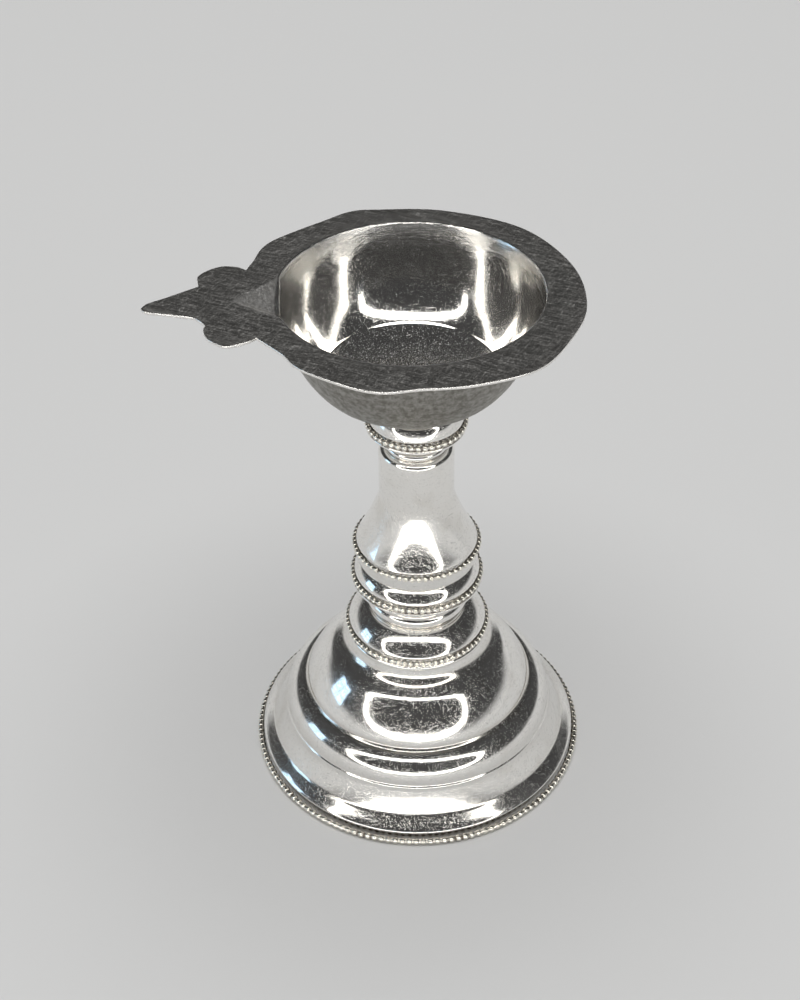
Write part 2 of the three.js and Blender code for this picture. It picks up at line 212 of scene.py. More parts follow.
def soften(points: Sequence[Point], radius: float, spacing: float = 0.03) -> np.ndarray:
    """Rounds every corner of a polyline, as spinning over a former does.

    Args:
        points: The polyline.
        radius: About how far from a corner the rounding reaches.
        spacing: The spacing of the points that come back.

    Returns:
        The rounded polyline, with its ends where they were.
    """
    line = resample(np.array(points, float), spacing)
    reach = max(1, int(radius / spacing))
    kernel = np.ones(reach * 2 + 1) / (reach * 2 + 1)
    for _ in range(2):
        head = 2 * line[0] - line[reach:0:-1]
        tail = 2 * line[-1] - line[-2:-reach - 2:-1]
        padded = np.vstack([head, line, tail])
        line = np.column_stack([np.convolve(padded[:, i], kernel, "valid") for i in range(2)])
    return line


def thin(line: np.ndarray, turn: float = 3.5, longest: float = 1.2) -> np.ndarray:
    """Drops the points of a fine polyline that its shape doesn't need.

    Args:
        line: The fine polyline.
        turn: The most that the line may turn between two kept points, in degrees.
        longest: The longest stretch between two kept points.

    Returns:
        The kept points, with the first and the last.
    """
    steps = np.diff(line, axis=0)
    headings = np.unwrap(np.arctan2(steps[:, 1], steps[:, 0]))
    kept = [0]
    for i in range(1, len(line) - 1):
        turned = abs(headings[i] - headings[kept[-1]])
        if turned > math.radians(turn) or np.hypot(*(line[i] - line[kept[-1]])) > longest:
            kept.append(i)
    return line[[*kept, len(line) - 1]]


def behind(line: np.ndarray, thickness: float, side: int) -> np.ndarray:
    """The other face of a sheet: the line moved sideways, without the stretches where it would fold over.

    Args:
        line: One face, as a fine polyline.
        thickness: The sheet's thickness.
        side: 1 for the right-hand side of the line's direction, -1 for the left.

    Returns:
        The other face, in the same direction.
    """
    ahead = np.gradient(line, axis=0)
    ahead /= np.hypot(*ahead.T)[:, None]
    moved = line + side * thickness * np.column_stack([ahead[:, 1], -ahead[:, 0]])
    away = np.array([np.hypot(*(line - point).T).min() for point in moved])
    return moved[away > thickness * 0.97]


def recess_of(line: np.ndarray, side: int, reach: float = 0.8) -> np.ndarray:
    """How hollow a sheet's face is at each point, for tarnishing, painted crease shade and wear.

    Args:
        line: The face, as a polyline.
        side: The side of the line that the metal is on, as in behind().
        reach: How far a bend is felt along the line.

    Returns:
        A number from 0 on a ridge, through 0.5 where the face is straight, to 1 in a crease.
    """
    steps = np.diff(line, axis=0)
    along = np.concatenate([[0.0], np.cumsum(np.hypot(*steps.T))])
    turns = np.concatenate([[0.0], np.diff(np.unwrap(np.arctan2(steps[:, 1], steps[:, 0]))), [0.0]])
    near = np.exp(-((along[:, None] - along[None]) / reach) ** 2)
    return np.clip(0.5 + 0.6 * side * (near @ turns), 0.0, 1.0)


def mesh_object(name: str, vertices: np.ndarray, faces: Iterable[Sequence[int]],
                sharp: float = 38.0) -> bpy.types.Object:
    """Makes a smooth-shaded object.

    Args:
        name: The piece's name.
        vertices: Its points, in millimetres.
        faces: Its faces, with their corners counter-clockwise from outside.
        sharp: The angle past which an edge stays sharp, in degrees.

    Returns:
        The new object, at the origin and linked to the scene.
    """
    mesh = bpy.data.meshes.new(name)
    mesh.from_pydata((np.asarray(vertices, float) * MM).tolist(), [], [tuple(f) for f in faces])
    mesh.validate()
    mesh.shade_smooth()
    mesh.set_sharp_from_angle(angle=math.radians(sharp))
    made = bpy.data.objects.new(name, mesh)
    bpy.context.scene.collection.objects.link(made)
    return made


def point_values(made: bpy.types.Object, name: str, values: Sequence[float]) -> None:
    """Stores one number for each vertex of a piece, for its material to read."""
    attribute = made.data.attributes.new(name, "FLOAT", "POINT")
    attribute.data.foreach_set("value", np.asarray(values, np.float32))


def spin(name: str, loop: np.ndarray, centre: Point, segments: int, recess: np.ndarray) -> bpy.types.Object:
    """Turns a profile round a vertical axis.

    Args:
        name: The piece's name.
        loop: The profile: a closed loop, or a line that starts and ends on the axis.
        centre: The axis in plan.
        segments: Facets in a full turn.
        recess: The recess value of each point of the profile.

    Returns:
        The closed solid.
    """
    after = np.roll(loop, -1, axis=0)
    if np.sum(loop[:, 0] * after[:, 1] - after[:, 0] * loop[:, 1]) < 0:
        loop, recess = loop[::-1], recess[::-1]
    angles = np.arange(segments) * 2 * math.pi / segments
    vertices: list[Triple] = []
    rings: list[list[int]] = []
    values: list[float] = []
    for (radius, height), hollow in zip(loop, recess):
        start = len(vertices)
        if radius < 1e-6:
            vertices.append((centre[0], centre[1], height))
            rings.append([start] * segments)
            values.append(hollow)
            continue
        vertices.extend((centre[0] + radius * math.cos(a), centre[1] + radius * math.sin(a), height)
                        for a in angles)
        rings.append(list(range(start, start + segments)))
        values.extend([hollow] * segments)
    faces = []
    for i, ring in enumerate(rings):
        above = rings[(i + 1) % len(rings)]
        for k in range(segments):
            corners = [ring[k], ring[(k + 1) % segments], above[(k + 1) % segments], above[k]]
            kept = list(dict.fromkeys(corners))
            if len(kept) > 2:
                faces.append(kept)
    made = mesh_object(name, np.array(vertices), faces)
    point_values(made, "recess", values)
    return made


def add_node(tree: bpy.types.NodeTree, kind: str, settings: dict | None = None,
             sockets: dict | None = None) -> bpy.types.Node:
    """Adds any node to any tree.

    Args:
        tree: The node tree.
        kind: The node's type.
        settings: Its settings, set first.
        sockets: A value, a Value or a socket for each input, by index or name.

    Returns:
        The node.
    """
    node = tree.nodes.new(kind)
    for key, setting in (settings or {}).items():
        setattr(node, key, setting)
    for key, given in (sockets or {}).items():
        feed(tree, node.inputs[key], given)
    return node


def feed(tree: bpy.types.NodeTree, socket: bpy.types.NodeSocket, given: object) -> None:
    """Gives an input of a node its value.

    Args:
        tree: The node's tree.
        socket: The input.
        given: A plain value to set, or a Value or another node's socket to link.
    """
    source = given.socket if isinstance(given, Value) else given
    if isinstance(source, bpy.types.NodeSocket):
        tree.links.new(source, socket)
    else:
        socket.default_value = source


class Value:
    """A number in a material's node tree, which takes part in ordinary arithmetic."""

    def __init__(self, shader: Shader, socket: bpy.types.NodeSocket) -> None:
        """Wraps a socket of a shader's tree."""
        self.shader = shader
        self.socket = socket

    def _math(self, operation: str, *others: Value | float, clamp: bool = False) -> Value:
        """Adds one Math node with this value as its first number.

        Args:
            operation: The node's operation.
            others: Its other numbers.
            clamp: Whether the result is held between 0 and 1.

        Returns:
            The result.
        """
        sockets = {0: self, **{i + 1: other for i, other in enumerate(others)}}
        node = self.shader.node("ShaderNodeMath", {"operation": operation, "use_clamp": clamp}, sockets)
        return Value(self.shader, node.outputs[0])

    def __add__(self, other: Value | float) -> Value:
        """Adds."""
        return self._math("ADD", other)

    __radd__ = __add__

    def __mul__(self, other: Value | float) -> Value:
        """Multiplies."""
        return self._math("MULTIPLY", other)

    __rmul__ = __mul__

    def __sub__(self, other: Value | float) -> Value:
        """Subtracts."""
        return self._math("SUBTRACT", other)

    def __rsub__(self, other: float) -> Value:
        """Subtracts from a number."""
        return self._math("MULTIPLY_ADD", -1.0, other)

    def __truediv__(self, other: Value | float) -> Value:
        """Divides."""
        return self._math("DIVIDE", other)

    def root(self) -> Value:
        """The square root."""
        return self._math("SQRT")

    def clamped(self) -> Value:
        """The value held between 0 and 1."""
        return self._math("ADD", 0.0, clamp=True)

    def step(self, low: float, high: float) -> Value:
        """A soft step from 0 at low to 1 at high, or the other way round if low is the larger.

        Args:
            low: Where the step is 0.
            high: Where it is 1.

        Returns:
            The step.
        """
        settings = {"interpolation_type": "SMOOTHSTEP"}
        ends = {1: low, 2: high, 3: 0.0, 4: 1.0} if low < high else {1: high, 2: low, 3: 1.0, 4: 0.0}
        node = self.shader.node("ShaderNodeMapRange", settings, {0: self, **ends})
        return Value(self.shader, node.outputs[0])


class Shader:
    """One material's node tree and the ways to add to it."""

    def __init__(self, name: str) -> None:
        """Starts a material with a Principled surface.

        Args:
            name: The material's name.
        """
        self.material = bpy.data.materials.new(name)
        self.material.use_nodes = True
        self.tree = self.material.node_tree
        self.tree.nodes.clear()
        self.surface = self.node("ShaderNodeBsdfPrincipled")
        self.node("ShaderNodeOutputMaterial", {}, {0: self.surface.outputs[0]})

    def node(self, kind: str, settings: dict | None = None, sockets: dict | None = None) -> bpy.types.Node:
        """Adds any node to the tree, as add_node() does."""
        return add_node(self.tree, kind, settings, sockets)

    def place(self) -> bpy.types.NodeSocket:
        """The point on the surface, in millimetres from the stem's foot.

        Returns:
            The point.
        """
        coordinates = self.node("ShaderNodeTexCoord")
        centred = self.node("ShaderNodeVectorMath", {"operation": "SUBTRACT"},
                            {0: coordinates.outputs["Object"], 1: (STEM[0] * MM, 0.0, 0.0)})
        return self.node("ShaderNodeVectorMath", {"operation": "SCALE"},
                         {0: centred.outputs[0], "Scale": 1 / MM}).outputs[0]

    def axes(self, place: bpy.types.NodeSocket) -> tuple[Value, Value, Value]:
        """The three numbers of a point.

        Args:
            place: The point.

        Returns:
            Its place across, its place along and its height.
        """
        split = self.node("ShaderNodeSeparateXYZ", {}, {0: place})
        x, y, z = (Value(self, socket) for socket in split.outputs)
        return x, y, z

    def joined(self, x: Value | float, y: Value | float, z: Value | float) -> bpy.types.NodeSocket:
        """A point from three numbers."""
        return self.node("ShaderNodeCombineXYZ", {}, {0: x, 1: y, 2: z}).outputs[0]

    def stretched(self, place: bpy.types.NodeSocket, turn: Point, scale: Triple) -> bpy.types.NodeSocket:
        """A point turned about Z and X by two angles in degrees, and then scaled along its axes.

        Args:
            place: The point.
            turn: The two angles.
            scale: The scale along each axis.

        Returns:
            The new point.
        """
        turned = self.node("ShaderNodeMapping", {"vector_type": "POINT"},
                           {"Vector": place, "Rotation": (math.radians(turn[1]), 0.0, math.radians(turn[0]))})
        return self.node("ShaderNodeVectorMath", {"operation": "MULTIPLY"},
                         {0: turned.outputs[0], 1: scale}).outputs[0]

    def noise(self, place: bpy.types.NodeSocket, scale: float, detail: float = 2.0,
              rough: float = 0.5) -> Value:
        """Smooth noise, mostly between 0.2 and 0.8, with a feature every 1 / scale millimetres.

        Args:
            place: The point on the surface.
            scale: Features in a millimetre.
            detail: How many finer layers it has.
            rough: How strong those are.

        Returns:
            The noise.
        """
        node = self.node("ShaderNodeTexNoise", {"noise_dimensions": "3D"},
                         {"Vector": place, "Scale": scale, "Detail": detail, "Roughness": rough})
        return Value(self, node.outputs["Fac"])

    def cells(self, place: bpy.types.NodeSocket, scale: float) -> tuple[Value, Value]:
        """The distance to the nearest of scattered points, and a random number for that point.

        Args:
            place: The point on the surface.
            scale: Scattered points in a millimetre.

        Returns:
            The distance and the random number.
        """
        node = self.node("ShaderNodeTexVoronoi", {"feature": "F1"}, {"Vector": place, "Scale": scale})
        split = self.node("ShaderNodeSeparateColor", {}, {0: node.outputs["Color"]})
        return Value(self, node.outputs["Distance"]), Value(self, split.outputs[0])

    def turned_lines(self, x: Value, y: Value, z: Value, finest: float) -> Value:
        """Fine lines that run round the axis and fade in and out, as a polishing cloth leaves them.

        Args:
            x: The place across the axis.
            y: The place along the lamp, from the axis.
            z: The height.
            finest: Lines in a millimetre.

        Returns:
            The lines.
        """
        radius = (x * x + y * y).root() + 0.01
        along = self.joined((radius + z) * finest, x / radius * 2.5, y / radius * 2.5)
        return self.noise(along, 1.0, 3.0, 0.7)

    def specks(self, place: bpy.types.NodeSocket, scale: float, size: float, share: float) -> Value:
        """Scattered round specks, 1 inside each.

        Args:
            place: The point on the surface.
            scale: Cells in a millimetre.
            size: A speck's radius as a share of its cell.
            share: The share of the cells that have one.

        Returns:
            The specks.
        """
        distance, chance = self.cells(place, scale)
        return distance.step(size, size * 0.4) * chance.step(share + 0.02, share)

    def stored(self, name: str) -> Value:
        """A number that the mesh stores for each vertex."""
        return Value(self, self.node("ShaderNodeAttribute", {"attribute_name": name}).outputs["Fac"])

    def blend(self, share: Value, first: Sequence[float] | bpy.types.NodeSocket,
              second: Sequence[float] | bpy.types.NodeSocket) -> bpy.types.NodeSocket:
        """A colour between two others.

        Args:
            share: 0 for the first, 1 for the second.
            first: A colour or a socket.
            second: A colour or a socket.

        Returns:
            The colour.
        """
        colours = {6: first, 7: second}
        for key, colour in colours.items():
            if not isinstance(colour, bpy.types.NodeSocket):
                colours[key] = (*colour, 1.0)
        return self.node("ShaderNodeMix", {"data_type": "RGBA"}, {0: share, **colours}).outputs[2]

    def relief(self, height: Value, depth: float) -> None:
        """Gives the surface a relief, depth being the height of a step from 0 to 1 in millimetres."""
        bump = self.node("ShaderNodeBump", {}, {"Strength": 1.0, "Distance": depth * MM, "Height": height})
        self.tree.links.new(bump.outputs[0], self.surface.inputs["Normal"])

    def set(self, **values: object) -> None:
        """Sets the surface's inputs, named with underscores for spaces."""
        for key, given in values.items():
            feed(self.tree, self.surface.inputs[key.replace("_", " ")], given)


@dataclass(frozen=True)
class SilverFinish:
    """Silver as it is worn: its colour, its gloss, and how much of each mark it carries, with painted shade
    darkening its creases along with their tarnishing.
    """

    name: str
    slot: Slot
    colour: Triple = (0.9, 0.885, 0.855)
    # The colour that creases darken toward: partly real tarnishing, partly painted shade.
    tarnish_and_shade: Triple = (0.5, 0.45, 0.37)
    roughness: float = 0.07
    tarnish_and_shade_share: float = 0.28
    clouding: float = 0.17
    turning: float = 0.25
    scratches: float = 1.0
    pits: float = 1.0

    def material(self) -> bpy.types.Material:
        """Builds the node tree.

        Returns:
            The material.
        """
        shader = Shader(self.name)
        place = shader.place()
        lines = shader.turned_lines(*shader.axes(place), 7.0)
        cloud = shader.noise(place, 0.22, 3.0)
        grain = shader.noise(place, 3.2, 3.0, 0.65)
        swell = shader.noise(place, 0.45, 1.0)
        hairs = hairlines(shader, place)
        pits = shader.specks(place, 1.7, 0.16, 0.45)
        dust = shader.specks(place, 5.0, 0.3, 0.5) * cloud.step(0.3, 0.6)
        # Creases darken toward the tarnished colour: partly tarnishing, partly painted shade where less light
        # reaches.
        recess = shader.stored("recess").step(0.45, 0.95)
        dulling_and_shade = recess * self.tarnish_and_shade_share + cloud.step(0.5, 0.75) * self.clouding
        shader.set(
            Base_Color=shader.blend(dulling_and_shade.clamped(), self.colour, self.tarnish_and_shade),
            Metallic=1 - (dust * 0.25 + hairs * 0.25 + pits * 0.2) * self.scratches,
            Roughness=(dulling_and_shade * 0.25 + grain * 0.05 + (hairs * 0.12 + dust * 0.2) * self.scratches + pits * 0.15
                       + self.roughness).clamped(),
        )
        height = (grain * 0.5 + swell * 3.0 + lines * self.turning
                  - (hairs * 1.4 + dust * 2.6) * self.scratches - pits * (3.0 * self.pits))
        shader.relief(height, 0.004)
        return shader.material


def hairlines(shader: Shader, place: bpy.types.NodeSocket) -> Value:
    """Hairline scratches that run in several directions, 0 to 1.

    Args:
        shader: The shader that they are added to.
        place: The point on the surface.

    Returns:
        The scratches.
    """
    total: Value | None = None
    for turn, lean, away in ((20.0, 35.0, 3.1), (75.0, -50.0, 11.7), (-48.0, 15.0, 23.9)):
        moved = shader.node("ShaderNodeVectorMath", {"operation": "ADD"},
                            {0: place, 1: (away, away * 2, -away)})
        streak = shader.stretched(moved.outputs[0], (turn, lean), (0.35, 5.5, 5.5))
        layer = shader.noise(streak, 1.0, 1.0).step(0.66, 0.74)
        total = layer if total is None else total + layer
    return total.clamped()


@dataclass(frozen=True)
class BowlFinish:
    """The bowl's silver: bright in the dish, brushed on the flange, ribbed in the spout, rough underneath,
    where its colour is painted dark with shade and broken by a random mottle.

    The dish's bright wall carries rings of fine lines below its brim, and its floor is dusted with specks.
    """

    name: str = "bowl_silver"
    slot: Slot = Slot.SATIN
    bright: Triple = (0.9, 0.885, 0.855)
    brushed: Triple = (0.8, 0.785, 0.75)
    worn: Triple = (0.42, 0.41, 0.39)
    # Painted shade: the dark colour that the bowl's underside is pulled toward.
    under_shade: Triple = (0.15, 0.142, 0.122)
    centre: Point = (-0.7, 0.4)

    def material(self) -> bpy.types.Material:
        """Builds the node tree.

        Returns:
            The material.
        """
        shader = Shader(self.name)
        place = shader.place()
        x, y, z = shader.axes(place)
        satin, spout, under, cut, brim, floor = (
            shader.stored(zone) for zone in ("satin", "spout", "under", "cut", "brim", "floor"))
        rings = shader.turned_lines(x - self.centre[0], y - self.centre[1], z, 6.0)
        streak = shader.noise(shader.stretched(place, (28.0, 8.0), (0.3, 2.6, 2.0)), 1.0, 4.0, 0.75)
        cross = shader.noise(shader.stretched(place, (-55.0, 12.0), (0.35, 3.2, 2.0)), 1.0, 3.0, 0.75)
        ribs = shader.noise(shader.stretched(place, (6.0, 0.0), (2.0, 0.3, 0.5)), 1.0, 2.0, 0.6)
        cloud = shader.noise(place, 0.25, 3.0)
        mottle = shader.noise(place, 1.1, 5.0, 0.75)
        grain = shader.noise(place, 3.0, 4.0, 0.7)
        swell = shader.noise(place, 0.4, 1.0)
        hairs = hairlines(shader, place)
        pits = shader.specks(place, 1.5, 0.2, 0.5)
        dust = shader.specks(place, 3.6, 0.3, 0.5)
        brushing = (streak.step(0.42, 0.66) * 0.6 + cross.step(0.5, 0.68) * 0.5) * grain.step(0.25, 0.6)
        dished = 1 - (satin + under + spout).clamped()
        # The underside is painted dark with shade, broken by a random mottle; the spout is darkened by the
        # same mottle at random.
        mottle_and_under_shade = under * (mottle.step(0.35, 0.65) * 0.24 + 0.72) + spout * mottle.step(0.35, 0.6) * 0.45
        bright_dust = dust * (dished * (floor * 0.5 + cloud.step(0.3, 0.6) * 0.35) + satin * 0.3)
        flat = shader.blend(brushing, self.worn, self.brushed)
        colour = shader.blend((satin * (1 - cut)).clamped(), self.bright, flat)
        colour = shader.blend(mottle_and_under_shade.clamped(), colour, self.under_shade)
        shader.set(
            Base_Color=colour,
            Metallic=(1 - bright_dust - hairs * 0.2 - satin * (1 - cut) * (brushing * 0.15 + 0.03)
                      - spout * grain * 0.3).clamped(),
            Roughness=(satin * (0.26 + brushing * 0.18) + spout * 0.24 + under * (0.3 + mottle * 0.12)
                       + brim * rings.step(0.4, 0.7) * 0.16 + floor * mottle * 0.12 + grain * 0.06
                       + (pits + dust + hairs) * 0.12 - cut * 0.12 + 0.05).clamped(),
        )
        height = (grain * (0.8 + spout * 6.0 + under * 2.0 + floor * 1.5) + swell * 3.0
                  + rings * dished * (0.5 + brim * 9.0) + brushing * satin * 2.2
                  + mottle * (under * 3.0 + spout * 7.0) + ribs * spout * 22.0
                  - pits * (1.0 + spout * 3.0) - hairs * 0.6)
        shader.relief(height, 0.004)
        return shader.material


@dataclass(frozen=True)
class PlainMetal:
    """A turned metal of the hidden fittings."""

    name: str
    slot: Slot
    colour: Triple
    stain: Triple
    roughness: float

    def material(self) -> bpy.types.Material:
        """Builds the node tree.

        Returns:
            The material.
        """
        shader = Shader(self.name)
        place = shader.place()
        x, y, z = shader.axes(place)
        lines = shader.noise(shader.joined((x * x + y * y).root(), 0.0, z), 9.0, 2.0)
        cloud = shader.noise(place, 0.6, 3.0)
        grain = shader.noise(place, 5.0, 2.0)
        shader.set(
            Base_Color=shader.blend(cloud.step(0.4, 0.7), self.colour, self.stain),
            Metallic=1.0,
            Roughness=(cloud * 0.2 + grain * 0.1 + self.roughness).clamped(),
        )
        shader.relief(lines + grain * 0.5, 0.006)
        return shader.material


Finish = SilverFinish | BowlFinish | PlainMetal
POLISHED = SilverFinish("polished_silver", Slot.POLISHED)
# The beads' near-black valley colour, laid between the beads and on their inner sides, is painted shade
# there, with some tarnishing.
BEADED = SilverFinish("beaded_silver", Slot.BEADED, colour=(0.95, 0.92, 0.84), tarnish_and_shade=(0.1, 0.075, 0.05),
                      roughness=0.1, tarnish_and_shade_share=0.9, clouding=0.1, turning=0.0, scratches=0.3, pits=0.3)
RING = SilverFinish("worn_silver", Slot.SATIN, roughness=0.1, tarnish_and_shade_share=0.4, clouding=0.25, turning=0.4)
BOWL = BowlFinish()
BRASS = PlainMetal("turned_brass", Slot.BRASS, (0.72, 0.54, 0.26), (0.5, 0.36, 0.17), 0.24)
STEEL = PlainMetal("plated_steel", Slot.STEEL, (0.6, 0.61, 0.63), (0.45, 0.45, 0.46), 0.28)


class BeadWire:
    """Beaded wire bent to a ring: swelled beads on a thin core, made by a node tree."""

    core_share = 0.62
    core_resolution = (160, 10)
    bead_detail = 2
    unevenness = 0.06
    seed = 7

    def __init__(self) -> None:
        """Builds the node tree, which every ring shares."""
        self.tree = bpy.data.node_groups.new("bead_wire", "GeometryNodeTree")
        interface = self.tree.interface
        interface.new_socket(name="Geometry", in_out="INPUT", socket_type="NodeSocketGeometry")
        self.inputs: dict[str, str] = {}
        for name, kind in (("Beads", "NodeSocketInt"), ("Circle Radius", "NodeSocketFloat"),
                           ("Bead Radius", "NodeSocketFloat"), ("Centre", "NodeSocketVector"),
                           ("Material", "NodeSocketMaterial")):
            self.inputs[name] = interface.new_socket(name=name, in_out="INPUT", socket_type=kind).identifier
        interface.new_socket(name="Geometry", in_out="OUTPUT", socket_type="NodeSocketGeometry")
        self._wire_up()

    def _node(self, kind: str, settings: dict | None = None, sockets: dict | None = None) -> bpy.types.Node:
        """Adds any node to the tree, as add_node() does."""
        return add_node(self.tree, kind, settings, sockets)

    def _wire_up(self) -> None:
        """Links the tree: beads on the points of a circle, a core through them, and the material."""
        given = self._node("NodeGroupInput").outputs
        circle = self._node("GeometryNodeMeshCircle", {},
                            {"Vertices": given["Beads"], "Radius": given["Circle Radius"]})
        bead = self._node("GeometryNodeMeshIcoSphere", {},
                          {"Radius": given["Bead Radius"], "Subdivisions": self.bead_detail})
        share = self._node("ShaderNodeMath", {"operation": "DIVIDE"}, {0: 2 * math.pi, 1: given["Beads"]})
        index = self._node("GeometryNodeInputIndex")
        angle = self._node("ShaderNodeMath", {"operation": "MULTIPLY"},
                           {0: share.outputs[0], 1: index.outputs[0]})
        euler = self._node("ShaderNodeCombineXYZ", {}, {"Z": angle.outputs[0]})
        turn = self._node("FunctionNodeEulerToRotation", {}, {0: euler.outputs[0]})
        wobble = self._node("FunctionNodeRandomValue", {"data_type": "FLOAT"},
                            {2: 1 - self.unevenness, 3: 1.0, "Seed": self.seed})
        scale = self._node("ShaderNodeCombineXYZ", {}, dict.fromkeys("XYZ", wobble.outputs[1]))
        beads = self._node("GeometryNodeInstanceOnPoints", {},
                           {"Points": circle.outputs[0], "Instance": bead.outputs[0],
                            "Rotation": turn.outputs[0], "Scale": scale.outputs[0]})
        core_size = self._node("ShaderNodeMath", {"operation": "MULTIPLY"},
                               {0: given["Bead Radius"], 1: self.core_share})
        core_path = self._node("GeometryNodeCurvePrimitiveCircle", {"mode": "RADIUS"},
                               {"Resolution": self.core_resolution[0], "Radius": given["Circle Radius"]})
        core_ring = self._node("GeometryNodeCurvePrimitiveCircle", {"mode": "RADIUS"},
                               {"Resolution": self.core_resolution[1], "Radius": core_size.outputs[0]})
        core = self._node("GeometryNodeCurveToMesh", {},
                          {"Curve": core_path.outputs[0], "Profile Curve": core_ring.outputs[0]})
        both = self._node("GeometryNodeJoinGeometry")
        self.tree.links.new(core.outputs[0], both.inputs[0])
        self.tree.links.new(beads.outputs[0], both.inputs[0])
        placed = self._node("GeometryNodeTransform", {},
                            {"Geometry": both.outputs[0], "Translation": given["Centre"]})
        smooth = self._node("GeometryNodeSetShadeSmooth", {}, {"Geometry": placed.outputs[0]})
        real = self._node("GeometryNodeRealizeInstances", {}, {0: smooth.outputs[0]})
        dressed = self._node("GeometryNodeSetMaterial", {},
                             {0: real.outputs[0], "Material": given["Material"]})
        self._node("NodeGroupOutput", {}, {0: dressed.outputs[0]})

    def ring(self, name: str, beads: int, circle: float, bead: float, centre: Vector,
             material: bpy.types.Material) -> bpy.types.Object:
        """Makes one ring as a plain mesh.

        Args:
            name: The piece's name.
            beads: How many beads the ring has.
            circle: The radius of the circle through their centres, in millimetres.
            bead: The radius of one bead, in millimetres.
            centre: The ring's centre, in millimetres.
            material: The material.

        Returns:
            The ring, with no modifier left on it.
        """
        holder = bpy.data.objects.new(name, bpy.data.meshes.new(name))
        bpy.context.scene.collection.objects.link(holder)
        modifier = holder.modifiers.new("bead_wire", "NODES")
        modifier.node_group = self.tree
        values = {"Beads": beads, "Circle Radius": circle * MM, "Bead Radius": bead * MM,
                  "Centre": centre * MM, "Material": material}
        for key, given in values.items():
            modifier[self.inputs[key]] = given
        bpy.context.view_layer.update()
        evaluated = holder.evaluated_get(bpy.context.evaluated_depsgraph_get())
        plain = bpy.data.meshes.new_from_object(evaluated)
        holder.modifiers.clear()
        holder.data = plain
        plain.name = name
        return holder


class Workshop:
    """What the sub-assemblies share: the materials, the bead wire and the last steps of each piece."""

    def __init__(self) -> None:
        """Starts with no material made."""
        self._materials: dict[str, bpy.types.Material] = {}
        self.wire = BeadWire()

    def material(self, finish: Finish) -> bpy.types.Material:
        """The material of a finish, made once.

        Args:
            finish: The finish.

        Returns:
            The material.
        """
        if finish.name not in self._materials:
            self._materials[finish.name] = finish.material()
        return self._materials[finish.name]

    def hand_over(self, made: bpy.types.Object, finish: Finish, body: Body, node: str) -> None:
        """Dresses a finished piece and puts it in the place of its node.

        Args:
            made: The piece.
            finish: Its finish.
            body: The body that it moves with.
            node: The node of the frame that it stands for.
        """
        if not made.data.materials:
            made.data.materials.append(self.material(finish))
        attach(made, body.value)
        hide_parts(node)
        LOG.info("%s: %d faces, for %s", made.name, len(made.data.polygons), node)


